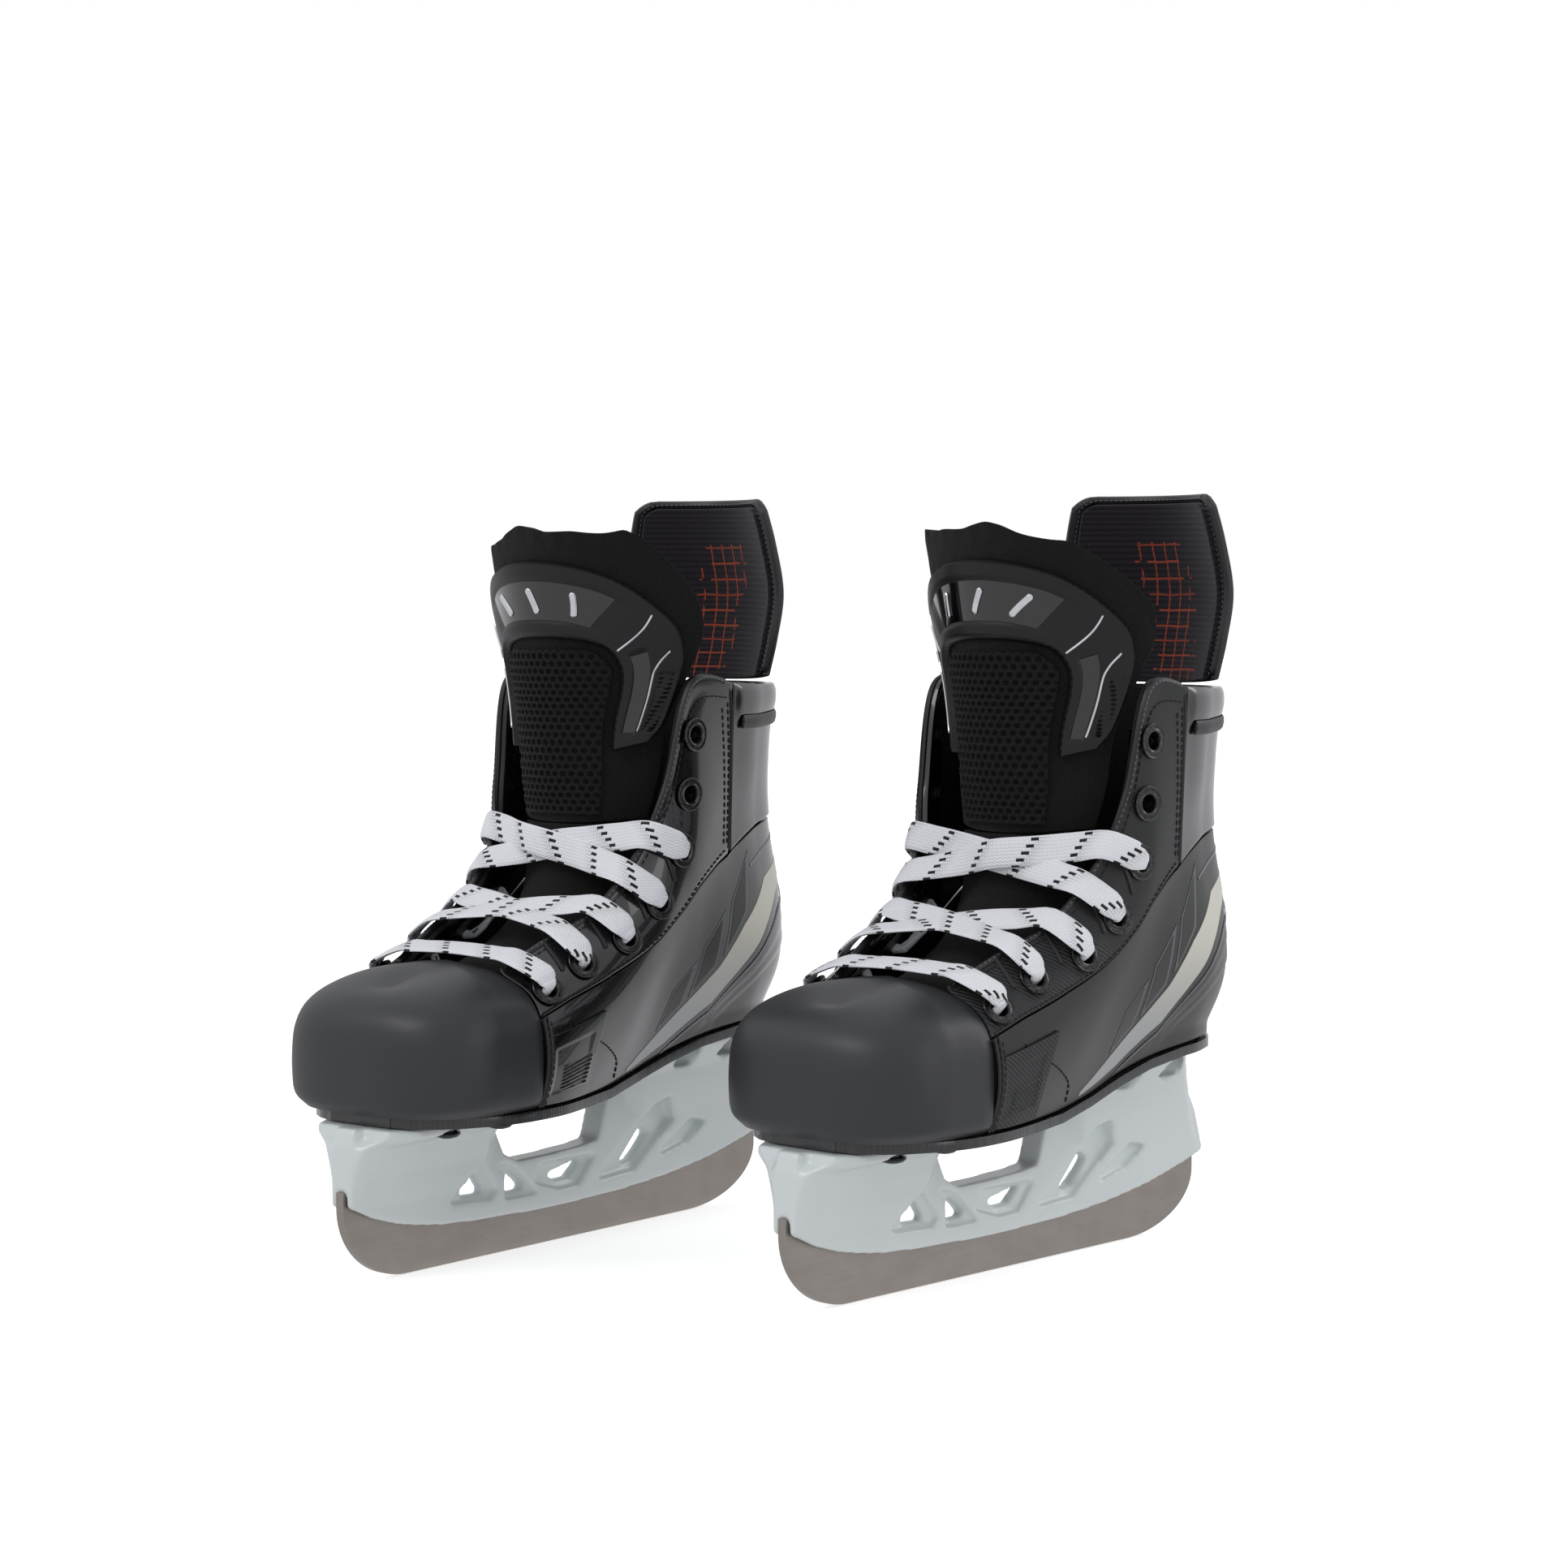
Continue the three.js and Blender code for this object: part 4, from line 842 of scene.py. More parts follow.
def skin_path(knots, n=120, lift=0.3):
    """A dense smooth path over the boot through (u, v) knots, and its outward directions."""
    uv = smooth_row(knots, np.linspace(0, len(knots) - 1, n))
    return boot(uv[:, 0], uv[:, 1], lift), skin_normal(uv[:, 0], uv[:, 1])


print("stitch has", len(STITCH_FACES), "faces")

# %% [markdown]
# ## Toe cap
#
# The cap is moulded in one piece of rubbery plastic: a soft-edged box with a raised bumper face
# and a slightly lower panel beside each seam. It is a grid over the toe box, pushed out by a
# smooth relief, so its shape is in the mesh and not only in the shading.

# %% Toe cap
P, S = np.meshgrid(np.linspace(0, 1, 89), np.linspace(0, 1, 45), indexing="ij")
seam_side = np.minimum(P, 1 - P)
panel = bump_of(seam_side, 0.045, 0.1) * bump_of(S, 0.05, 0.16) * (1 - bump_of(S, 0.86, 0.97))
outer = toe_point(P, S, 0.35 + 0.55 * panel)
inner = toe_point(P, S, -SHELL)
for grid in (outer, inner):
    grid[[0, -1], :, 1] -= 0.35
toe = wall("moulded_toe_cap", outer, inner, np.stack([P * 160, S * 60], -1))
set_down(bevel_edges(outward(toe, 0.00012), 0.5, 2), "skate", cap_rubber, ["toe_cap"])
print("toe cap faces", len(toe.data.polygons))

# %% [markdown]
# ## Quarters, heel cup and rand panels
#
# The quarter is the stiff side of the boot. It is a sheet of the boot's skin with a thickness,
# and the glossy heel has shallow moulded steps that run down and forwards, layer on layer.
# The low rand panel behind the toe cap has a raised outline and a small patch of grip ridges.

# %% Quarters and heel cup
FACING_LOW = [(3, 2.05), (4, 2.2), (5, 2.35), (6, 2.5), (7, 2.5), (8, 2.45), (9, 2.35)]
facing_low = lambda u: table(FACING_LOW, np.abs(u))
STRIPE_TOP = [(0.85, 1.69), (1.18, 1.67), (1.9, 1.57), (2.65, 1.27), (3.23, 0.93), (3.98, 0.67),
              (5.05, 0.32), (5.5, 0.16)]
STRIPE_LOW = [(0.85, 1.66), (1.18, 1.55), (1.6, 1.42), (2.1, 1.2), (2.62, 0.87), (3.18, 0.47),
              (4.28, 0.2), (5.5, 0.1)]
stripe_top = lambda u: table(STRIPE_TOP, np.abs(u))
stripe_low = lambda u: table(STRIPE_LOW, np.abs(u))


def heel_steps(U, V, up):
    """Three shallow steps behind the stripe, parallel to it."""
    below = stripe_low(U) - V
    steps = sum(0.38 * bump_of(below, k, k + 0.05) for k in (0.1, 0.3, 0.5))
    return -steps * (1 - bump_of(np.abs(U), 4.2, 5.2)) * bump_of(V, 0.02, 0.2)


for side, name in ((1, "outer"), (-1, "inner")):
    cad = "lateral_quarter" if side > 0 else "medial_quarter"
    high = lambda u: np.where(np.abs(u) < 3, 2.05, facing_low(u)) - 0.035
    us = np.linspace(side * 1.2, side * 8.98, 150)
    part = skin_wall(f"{name}_quarter", us, level(0.02), high, 70, -SHELL, 0.0, heel_steps)
    set_down(bevel_edges(part, 0.35), "skate", graphite if side > 0 else black_patent,
             [cad])
us = np.linspace(-1.18, 1.18, 57)
heel = skin_wall("heel_shell", us, level(0.02), level(2.015), 70, -SHELL, 0.0, heel_steps)
set_down(bevel_edges(heel, 0.35), "skate", black_patent, ["heel_cup"])

# %% Rand panels
RAND_REAR = [(0.12, 5.95), (0.45, 6.1), (0.8, 6.6), (1.5, 7.7), (1.9, 8.0)]


def rand_relief(U, V, up):
    u = np.abs(U)
    frame = (bump_of(u, 7.35, 7.5) * (1 - bump_of(u, 8.55, 8.7)) * bump_of(V, 0.3, 0.42)
             * (1 - bump_of(V, 1.38, 1.5)))
    ridge = 0.5 + 0.5 * np.cos(2 * np.pi * (V - 0.35 + 0.06 * (u - 8)) / 0.085)
    patch = (bump_of(u, 7.25, 7.35) * (1 - bump_of(u, 8.2, 8.32)) * bump_of(V, 0.34, 0.38)
             * (1 - bump_of(V, 0.9, 0.94)))
    return -0.35 * frame + 0.55 * ridge * patch


for side, name, cad in ((1, "outer", "lateral_rand"), (-1, "inner", "medial_rand")):
    us = np.linspace(side * 7.15, side * 8.94, 60)
    part = skin_wall(f"{name}_rand_panel", us, level(0.1), level(1.8), 90, 0.15, 1.15,
                     rand_relief)
    set_down(bevel_edges(part, 0.3), "skate", facing_matt if side > 0 else black_patent,
             [cad])
print("pieces so far", len(pieces))

# %% [markdown]
# ## Facings with real holes
#
# The facing is the panel that carries the eyelets. It stands 0.8 mm proud, its front edge is
# bound, and between the lower eyelets short sewn darts let it bend round the instep. Its holes
# are cut with a Boolean, so light passes through an empty eyelet.

# %% Facings
def hole_cutters(places, radius):
    cutters = []
    for e in places:
        bpy.ops.mesh.primitive_cylinder_add(vertices=28, radius=radius / 1000, depth=0.016)
        cutter = bpy.context.object
        turned = Vector(e["out"]).to_track_quat("Z", "Y").to_matrix().to_4x4()
        cutter.data.transform(Matrix.Translation(Vector(e["at"]) / 1000) @ turned)
        cutters.append(cutter)
    return merge("hole_cutters", cutters)


def cut(obj, cutter):
    only(obj)
    made = obj.modifiers.new("holes", "BOOLEAN")
    made.object, made.operation, made.solver = cutter, "DIFFERENCE", "EXACT"
    bpy.ops.object.modifier_apply(modifier=made.name)
    bpy.data.objects.remove(cutter)
    return obj


def facing_relief(U, V, up):
    """A bound rim along the front edge and a soft roll at the lower edge."""
    return 0.5 * bump_of(up, 0.93, 0.97) - 0.45 * (1 - bump_of(up, 0.0, 0.05))


for side, name, cad, places in ((1, "outer", "lateral", outer_eyelets),
                                (-1, "inner", "medial", inner_eyelets)):
    us = np.linspace(side * 3.04, side * 8.98, 130)
    part = skin_wall(f"{name}_facing", us, facing_low, level(4), 36, -SHELL, PROUD,
                     facing_relief)
    part = cut(bevel_edges(part, 0.45), hole_cutters(places, 3.95))
    set_down(part, "skate", facing_matt if side > 0 else black_patent,
             [f"{cad}_facing"])
print("facing faces", len(part.data.polygons))

# %% [markdown]
# ## Eyelets
#
# A grommet is a turned part: a flat flange with a rolled lip on the outside and a barrel
# through the wall. Its section is drawn by extruding and scaling a circle step by step, and the
# last ring is bridged back to the first. Behind the facing one stay ties the seven together.

# %% A turned ring, by extruding and scaling a circle
def turned_ring(name, profile, sides=28):
    """A closed ring through (radius, height) steps, in millimetres."""
    bpy.ops.object.select_all(action="DESELECT")
    r0, z0 = profile[0]
    bpy.ops.mesh.primitive_circle_add(vertices=sides, radius=r0 / 1000, location=(0, 0, z0 / 1000))
    ring = bpy.context.object
    ring.name = name
    bpy.ops.object.transform_apply(location=True)
    bpy.ops.object.mode_set(mode="EDIT")
    bpy.ops.mesh.select_all(action="SELECT")
    for (ra, za), (rb, zb) in zip(profile, profile[1:]):
        bpy.ops.mesh.extrude_edges_move(TRANSFORM_OT_translate={"value": (0, 0, (zb - za) / 1000)})
        bpy.ops.transform.resize(value=(rb / ra, rb / ra, 1))
    bpy.ops.mesh.select_all(action="DESELECT")
    bpy.ops.mesh.select_non_manifold()
    bpy.ops.mesh.bridge_edge_loops()
    bpy.ops.object.mode_set(mode="OBJECT")
    return outward(ring)


GROMMET = [(2.75, -3.4), (2.75, 1.35), (2.95, 1.75), (3.5, 1.95), (4.1, 1.72), (4.9, 1.68),
           (5.25, 1.85), (5.5, 1.62), (5.5, 1.28), (3.6, 1.22), (3.6, -3.4)]
grommet = turned_ring("grommet", GROMMET)
RING = np.array([v.co for v in grommet.data.vertices])
RING_FACES = [tuple(p.vertices) for p in grommet.data.polygons]
bpy.data.objects.remove(grommet)
eyelet_black = Finish("eyelet_lacquer", Metallic=0.55, Coat_Weight=0.6, Coat_Roughness=0.12)
speck = eyelet_black.noise(eyelet_black.place(), 1900, 3, 0.7)
worn = speck.ease(0.6, 0.68)
eyelet_black.set(Base_Color=eyelet_black.mix(worn * 0.8, paint("131315"), paint("74767a")),
                 Roughness=0.3 + speck * 0.15)
eyelet_black.relief(speck, 0.00008)


def grommets(places):
    """Seven rings turned to the skin, each with ten small embossed marks on its flange."""
    points, faces = [], []

    def add(new_points, new_faces):
        start = sum(len(q) for q in points)
        points.append(new_points)
        faces.extend(tuple(i + start for i in f) for f in new_faces)

    for e in places:
        turned = np.array(Vector(e["out"]).to_track_quat("Z", "Y").to_matrix())
        add(RING @ turned.T * 1000 + e["at"], RING_FACES)
        for k in range(10):
            a = 2 * math.pi * k / 10
            mark = np.array([4.5 * math.cos(a), 4.5 * math.sin(a), 1.72]) @ turned.T + e["at"]
            ends = np.stack([mark - turned[:, 0] * 0.4, mark + turned[:, 0] * 0.4])
            add(*stitch_row(ends, np.stack([e["out"]] * 2), 0.8, 0.7, 0.5))
    return np.concatenate(points), faces


def stay_behind(places):
    """The reinforcing strip behind the facing."""
    line = np.array([e["at"] - e["out"] * 4.6 for e in places])
    line = np.concatenate([[line[0] * 1.2 - line[1] * 0.2], line,
                           [line[-1] * 1.2 - line[-2] * 0.2]])
    outs = np.array([e["out"] for e in places])
    outs = np.concatenate([outs[:1], outs, outs[-1:]])
    t = np.linspace(0, len(line) - 1, 60)
    return tube_mesh("stay", *piping(smooth_row(line, t), unit(smooth_row(outs, t)), 4.6, 8, 0.11))


for name, cad, places in (("outer", "lateral", outer_eyelets), ("inner", "medial", inner_eyelets)):
    rings = outward(mesh_of("rings", *grommets(places)), 0)
    ring_set = merge(f"{name}_grommets", [rings, stay_behind(places)])
    set_down(ring_set, "skate", eyelet_black, [f"{cad}_eyelets"])
print("grommet set", len(ring_set.data.polygons), "faces")

# %% [markdown]
# ## Collar, lining and heel
#
# The collar is patent film over foam, so it swells outwards between its borders and rolls over
# at the rim. Inside it sits the ankle lining, a fleecy knit over foam. Round the back runs a
# strap, and a small heel badge with plain slanted bars.

# %% Padded collar
def collar_relief(U, V, up):
    swell = 0.9 * np.sin(np.pi * np.clip((V - 3.5) / 0.5, 0, 1))
    return 0.6 + swell * (1 - bump_of(np.abs(U), 2.7, 2.96)) - 0.5 * bump_of(up, 0.96, 1.0)


us = np.linspace(-2.96, 2.96, 150)
part = skin_wall("padded_collar", us, level(2.05), level(4), 44, -SHELL, 0.0, collar_relief)
collar, collar_twin = set_down(bevel_edges(part, 0.5, 3), "skate", black_patent,
                               ["collar"])

# %% Ankle lining, a knit over foam
knit = Finish("lining_knit", Roughness=0.92, Sheen_Weight=0.06, Specular_IOR_Level=0.2)
ky, kz, _ = knit.parts(knit.place("UV"))
loops = ((kz * 5200).wave() * ((ky * 5200).wave())) * 0.5 + 0.5
fuzz = knit.noise(knit.place(), 1200, 4, 0.7)
knit.set(Base_Color=knit.mix(loops * 0.5 + fuzz * 0.4, paint("0f0e11"), paint("2a272c")))
knit.relief(loops * 0.6 + fuzz * 0.4, 0.0004)


def lining_relief(U, up):
    """Stuffed towards the middle, thinner at its borders."""
    round_heel = np.cos(np.clip(np.abs(U) / 3.3, 0, 1) * np.pi / 2)
    return 0.55 * np.sin(np.pi * up) ** 0.6 * round_heel ** 0.4


us = np.linspace(-3.25, 3.25, 110)
up = np.linspace(0, 1, 51)
U, V = np.meshgrid(us, 1 + 2.97 * up, indexing="ij")
LINING_FACE, LINING_T = -SHELL - 1.1, 4.0      # behind the boot wall, and its thickness
inside = LINING_FACE - LINING_T - lining_relief(U, np.broadcast_to(up, U.shape)) * 2
lining = wall("ankle_lining_foam", boot(U, V, LINING_FACE + 0 * U), boot(U, V, inside),
              np.stack([U * 18, V * 36], -1))
lining, lining_twin = set_down(bevel_edges(lining, 1.4, 4), "skate", knit,
                               ["ankle_lining"])

# %% Strap and badge on the heel
dark_metal = Finish("badge_metal", Metallic=1.0, Roughness=0.28)
brush = dark_metal.noise(dark_metal.stretch(dark_metal.place(), (1, 1, 0.05)), 2200, 2)
dark_metal.set(Base_Color=dark_metal.mix(brush, paint("5d5e62"), paint("9a9ba0")),
               Roughness=0.24 + brush * 0.14)
bright = Finish("bright_trim", Metallic=1.0)
smudge = bright.noise(bright.place(), 220, 3)
bright.set(Base_Color=bright.mix(smudge, paint("c9cbd0"), paint("f2f3f5")),
           Roughness=0.1 + smudge * 0.12)
us = np.linspace(-0.62, 0.62, 41)
round_pad = lambda U: np.cos(np.clip(np.abs(U) / 0.62, 0, 1) * np.pi / 2)
pad = lambda U, V, up: 0.45 * np.sin(np.pi * up) * round_pad(U)
badge = skin_wall("heel_badge_plate", us, level(2.75), level(3.45), 16, 1.65, 2.6, pad)
badge = bevel_edges(badge, 0.4, 3)
bars = []
for k in (-1, 0, 1):
    path, out = skin_path([(k * 0.26 - 0.09, 2.92), (k * 0.26 + 0.09, 3.28)], 14, 3.05)
    bars.append((path, out, 0.75, 0.5))
set_down(badge, "skate", black_patent, ["heel_badge"])
set_down(beads("heel_badge_bars", bars), "skate", dark_metal)
strap_path, strap_out = skin_path([(2.72, 3.5), (2, 3.5), (1, 3.5), (0, 3.52), (-1, 3.5),
                                   (-2, 3.5), (-2.72, 3.5)], 160, 1.5)
set_down(beads("collar_strap", [(strap_path, strap_out, 2.3, 0.3)]), "skate", binding)
print("collar done")

# %% [markdown]
# ## Bands, lines and panels on the side
#
# A printed or moulded band is modelled as what it is, a thin film on the boot: its two borders
# are curves on the skin. The long pale band starts thin under the arch and sweeps up to the
# heel, with a hair line behind it and three slanted window panels in front of it.

# %% Films on the skin
band_film = Finish("pale_band", Metallic=0.25, Coat_Weight=0.3, Coat_Roughness=0.2)
_, bz, _ = band_film.parts(band_film.place("UV"))
speck = band_film.noise(band_film.place(), 1500, 3)
band_film.set(Base_Color=band_film.mix(bz.ease(0.068, 0.112), paint("a9aaab"), paint("dcd9cb")),
              Roughness=0.3 + speck * 0.12)
window_film = Finish("window_film", Metallic=0.5, Coat_Weight=0.3, Coat_Roughness=0.2)
speck = window_film.noise(window_film.place(), 1200, 3)
window_film.set(Base_Color=window_film.mix(speck, paint("56585b"), paint("6e7073")),
                Roughness=0.34 + speck * 0.1)


def film(name, us, low, high, proud, nv=8):
    return skin_wall(name, us, low, high, nv, proud - 0.25, proud)


def panel(name, corners, proud, n=12, m=8):
    """A film with four (u, v) corners: lower front, lower rear, upper rear, upper front."""
    a, b, c, d = (np.array(k, float) for k in corners)
    s, t = np.meshgrid(np.linspace(0, 1, n), np.linspace(0, 1, m), indexing="ij")
    uv = ((a[None, None] * (1 - s[..., None]) + b * s[..., None]) * (1 - t[..., None])
          + (d * (1 - s[..., None]) + c * s[..., None]) * t[..., None])
    U, V = uv[..., 0], uv[..., 1]
    return wall(name, boot(U, V, proud + 0 * U), boot(U, V, proud - 0.25 + 0 * U),
                skin(U, V)[..., 1:3])


for side, name in ((1, "outer"), (-1, "inner")):
    us = np.linspace(0.9, 5.5, 120) * side
    band = film(f"{name}_pale_band", us, stripe_low, stripe_top, 0.17)
    set_down(band, "skate", band_film)
    hair = film("hair", np.linspace(1.0, 4.3, 90) * side, lambda u: stripe_low(u) - 0.165,
                lambda u: stripe_low(u) - 0.13, 0.16, 2)
    upper = film("upper", np.linspace(0.9, 2.3, 50) * side, lambda u: 1.95 - 0.1 * np.abs(u),
                 lambda u: 1.975 - 0.1 * np.abs(u), 0.16, 2)
    set_down(merge(f"{name}_hair_lines", [hair, upper]), "skate", dark_metal)
    windows, rims = [], []
    for u0, u1, h in ((4.75, 4.12, 0.52), (3.95, 3.32, 0.56), (3.15, 2.55, 0.5)):
        foot_front, foot_rear = stripe_top(u0) + 0.07, stripe_top(u1) + 0.07
        corners = [(u0, foot_front), (u1, foot_rear), (u1 - 0.22, foot_rear + h),
                   (u0 - 0.22, foot_front + h)]
        corners = [(side * u, v) for u, v in corners]
        rims.append(panel("rim", corners, 0.13))
        mid = np.mean(corners, 0)
        small = [tuple(mid + (np.array(c) - mid) * (0.74, 0.8)) for c in corners]
        windows.append(panel("window", small, 0.21))
    set_down(merge(f"{name}_window_rims", rims), "skate", window_film)
    set_down(merge(f"{name}_windows", windows), "skate", graphite)
print("bands done")

# %% Sewn lines and piping on the boot
def offset_path(us, v_of, lift, n=200):
    u = np.linspace(us[0], us[1], n)
    v = v_of(u)
    return boot(u, v, lift), skin_normal(u, v)


for side, name in ((1, "outer"), (-1, "inner")):
    low_line = offset_path((side * 3.2, side * 8.9), lambda u: facing_low(u) + 0.08, PROUD + 0.1)
    rim_line = offset_path((side * 3.15, side * 8.9), level(3.82), PROUD + 0.15)
    back_line = skin_path([(side * 3.14, 2.2), (side * 3.12, 3.0), (side * 3.14, 3.78)], 120,
                          PROUD + 0.1)
    rear_line = skin_path([(side * 3.28, 2.25), (side * 3.27, 3.0), (side * 3.29, 3.72)], 120,
                          PROUD + 0.1)
    toe_seams = [skin_path([(side * k, 0.1), (side * k, 1.2), (side * k, 2.2)], 120, h)
                 for k, h in ((8.87, 1.35), (8.74, 1.35))]
    rand_line = skin_path([(side * u, v) for v, u in RAND_REAR[::-1]], 140, 0.15)
    set_down(stitches(f"{name}_black_stitching", [low_line, rim_line, back_line, rear_line,
             rand_line, *toe_seams]), "skate", thread, smooth=60)
    edge = offset_path((side * 3.2, side * 8.96), level(3.985), PROUD - 0.4)
    top = skin_path([(side * 3.2, 3.985), (side * 3.09, 3.9), (side * 3.05, 3.6),
                     (side * 3.05, 2.6), (side * 3.06, 2.12)], 140, PROUD - 0.1)
    beads_here = [(edge[0], edge[1], 1.25), (top[0], top[1], 0.55)]
    for k, h in ((8.93, 1.05), (8.81, 1.05)):
        seam = skin_path([(side * k, v) for v in (0.06, 1.0, 1.9, 2.32)], 90, h)
        beads_here.append((seam[0], seam[1], 0.62))
    darts = []
    for i in (0, 1, 2, 3):                     # sewn darts between the lower eyelets
        places = outer_eyelets if side > 0 else inner_eyelets
        u = (places[i]["u"] + places[i + 1]["u"]) / 2
        dart = skin_path([(u, 3.95), (u - side * 0.03, 3.5), (u - side * 0.05, 3.12)], 40,
                         PROUD + 0.25)
        darts.append((dart[0], dart[1], 0.85, 0.6))
    set_down(beads(f"{name}_piping", beads_here + darts), "skate", binding)
    flecks = offset_path((side * 3.2, side * 8.9), level(3.985), PROUD + 0.85)
    set_down(stitches(f"{name}_edge_flecks", [flecks], pitch=1.9, long=0.9, thick=0.3), "skate",
             silver_thread, smooth=60)
print("sewn lines done")

# %% [markdown]
# ## Tongue
#
# The tongue is a thick felt bib. Its lower part lies under the lace on the skate's own body,
# and its upper part folds forwards at the hinge above the top crossing. On the front it carries
# a panel of open spacer mesh, framed by a moulded guard that is shaped like a horseshoe, with
# glossy recesses, bright lines and ribbed side patches. Felt is fuzzy, so besides its grain it
# has a sheen that catches light at grazing angles.

# %% Felt and its two parts
felt = Finish("black_felt", Roughness=0.97, Sheen_Weight=0.08, Sheen_Roughness=0.6,
              Specular_IOR_Level=0.15)
tuft = felt.noise(felt.place(), 1500, 5, 0.75)
clump = felt.noise(felt.place(), 130, 3)
felt.set(Base_Color=felt.mix(tuft.ease(0.35, 0.8) * 0.6 + clump * 0.25, paint("080809"),
                             paint("222223")))
felt.relief(tuft, 0.0009, 0.9)

HINGE_ROW, RELIEF = 5 + 1 / 16, 0.12


def tongue_wall(name, T, F, front, back):
    F, T = np.broadcast_arrays(F, T)
    front, back = (np.broadcast_to(np.asarray(a, float), F.shape) for a in (front, back))
    half = smooth_row(TONGUE, T)[..., 2]
    return wall(name, tongue(T, F, front), tongue(T, F, back), np.stack([F * half, T * 16.5], -1))


def felt_top(f):
    """The bib's upper border: a wavy rim, highest at the inner side, rounded down outside."""
    wave = 0.055 * np.sin(5.2 * f + 0.6) + 0.03 * np.sin(11 * f)
    fall = 0.22 * bump_of(f, 0.1, 0.75) + 1.15 * np.clip((f - 0.72) / 0.28, 0, 1) ** 2.4
    corner = 0.25 * np.clip((-f - 0.9) / 0.1, 0, 1) ** 2
    return 10.93 - fall + wave * (1 - bump_of(f, 0.6, 0.8)) - corner


f = np.linspace(-1, 1, 81)
k = np.linspace(0, 1, 75)
F, K = np.meshgrid(f, k)
T = (HINGE_ROW + 0.013 + RELIEF * F**2) * (1 - K) + felt_top(F) * K
rub = 0.16 * np.sin(F * 31 + 3 * K) * np.sin(K * 27) * (K > 0.5)
upper = tongue_wall("felt_bib", T, F, rub, -5.0)
upper = bevel_edges(upper, 1.3, 4)
felt_bib, felt_bib_twin = set_down(upper, "tongue", felt, ["tongue_felt"], smooth=60)
F, T = np.meshgrid(f[::2], np.linspace(0, HINGE_ROW - 0.013, 60))
lower = tongue_wall("felt_throat", T, F, 0.0, -5.0)
throat, throat_twin = set_down(bevel_edges(lower, 1.2, 3), "skate", felt, ["tongue_base"],
                               smooth=60)
print("felt faces", len(upper.data.polygons))

# %% Spacer mesh with round openings
spacer = Finish("spacer_mesh", Roughness=0.7, Sheen_Weight=0.05, Specular_IOR_Level=0.25)
fibre_and_painted_glint = spacer.noise(spacer.place(), 3200, 3, 0.8)
# The lighter speckle in the base colour is painted glint on the threads; the same noise also gives
# the fibre bump.
spacer.set(Base_Color=spacer.mix(fibre_and_painted_glint.ease(0.56, 0.72) * 0.55, paint("070708"), paint("5a5a5c")))
spacer.relief(fibre_and_painted_glint, 0.0004)

PANEL_HALF, PANEL_FOOT, PANEL_TOP = 0.56, 5.27, 8.5
k = np.linspace(0, 1, 250)
f = np.linspace(-1, 1, 131)
F, K = np.meshgrid(f, k)
T = PANEL_FOOT + (PANEL_TOP - PANEL_FOOT) * K
narrow = 1 - 0.32 * np.clip((K - 0.86) / 0.14, 0, 1) ** 2.2
F = F * PANEL_HALF * narrow
half = smooth_row(TONGUE, T)[..., 2]
X_mm, Z_mm = F * half, T * 16.5
PITCH = 2.75                                    # between holes; rows stand 0.86 of that apart
rows = np.floor(Z_mm / (PITCH * 0.86))
near = np.full(F.shape, 9.0)
for extra in (-1, 0, 1):
    r = rows + extra
    cx = (np.round(X_mm / PITCH - 0.5 * (r % 2)) + 0.5 * (r % 2)) * PITCH
    near = np.minimum(near, np.hypot(X_mm - cx, Z_mm - (r + 0.5) * PITCH * 0.86))
holes = -1.05 * (1 - bump_of(near, 0.72, 1.08)) + 0.12 * np.cos(X_mm * 4.5) * np.cos(Z_mm * 4.5)
border = np.minimum(bump_of(K, 0, 0.01), 1 - bump_of(K, 0.99, 1))
mesh_panel = tongue_wall("spacer_mesh_panel", T, F, 1.75 + holes * border, 0.4)
mesh_panel, mesh_twin = set_down(mesh_panel, "tongue", spacer, ["tongue_mesh"], smooth=60)
print("mesh panel faces", len(mesh_panel.data.polygons))

# %% The moulded horseshoe round the mesh
plate_matt = toned("tongue_plate_matt", "0c0c0d", "171719", 0.42, 1100, 0.00003, 20,
                   Coat_Weight=0.12, Coat_Roughness=0.25, Specular_IOR_Level=0.35)
INNER = [(0.64, 6.55), (0.64, 7.1), (0.635, 7.7), (0.6, 8.2), (0.48, 8.56), (0.25, 8.68),
         (0, 8.7)]
OUTER = [(0.9, 6.7), (0.975, 7.05), (0.97, 7.75), (0.93, 8.5), (0.82, 9.3), (0.55, 10.05),
         (0, 10.28)]
both_sides = lambda rows: rows + [(-f, t) for f, t in rows[-2::-1]]
A, B = np.meshgrid(np.linspace(0, 1, 181), np.linspace(0, 1, 37), indexing="ij")


def horseshoe(a, b):
    """(f, t) at share a round the horseshoe from outer foot to inner foot, b across it."""
    inner = smooth_row(both_sides(INNER), a * 12)
    outer = smooth_row(both_sides(OUTER), a * 12)
    return inner + (outer - inner) * b[..., None]


at = horseshoe(A, B)
rim = np.minimum(bump_of(B, 0, 0.06), 1 - bump_of(B, 0.94, 1))
arm = np.minimum(A, 1 - A)                      # share of the way up either arm
between = lambda x, a, b, c, d: bump_of(x, a, b) * (1 - bump_of(x, c, d))
crest = between(B, 0.16, 0.22, 0.72, 0.8) * between(A, 0.355, 0.385, 0.615, 0.645)
ridge = np.cos(2 * np.pi * (A * 95 + B * 2.2)) * 0.5 + 0.5
patch = between(B, 0.6, 0.64, 0.88, 0.92) * between(arm, 0.04, 0.055, 0.2, 0.215)
gutter = between(B, 0.2, 0.24, 0.48, 0.52) * between(arm, 0.03, 0.045, 0.27, 0.285)
plate_relief = 2.3 * rim + 0.4 - 0.75 * crest - 0.85 * gutter - 0.7 * patch * ridge
half = smooth_row(TONGUE, at[..., 1])[..., 2]
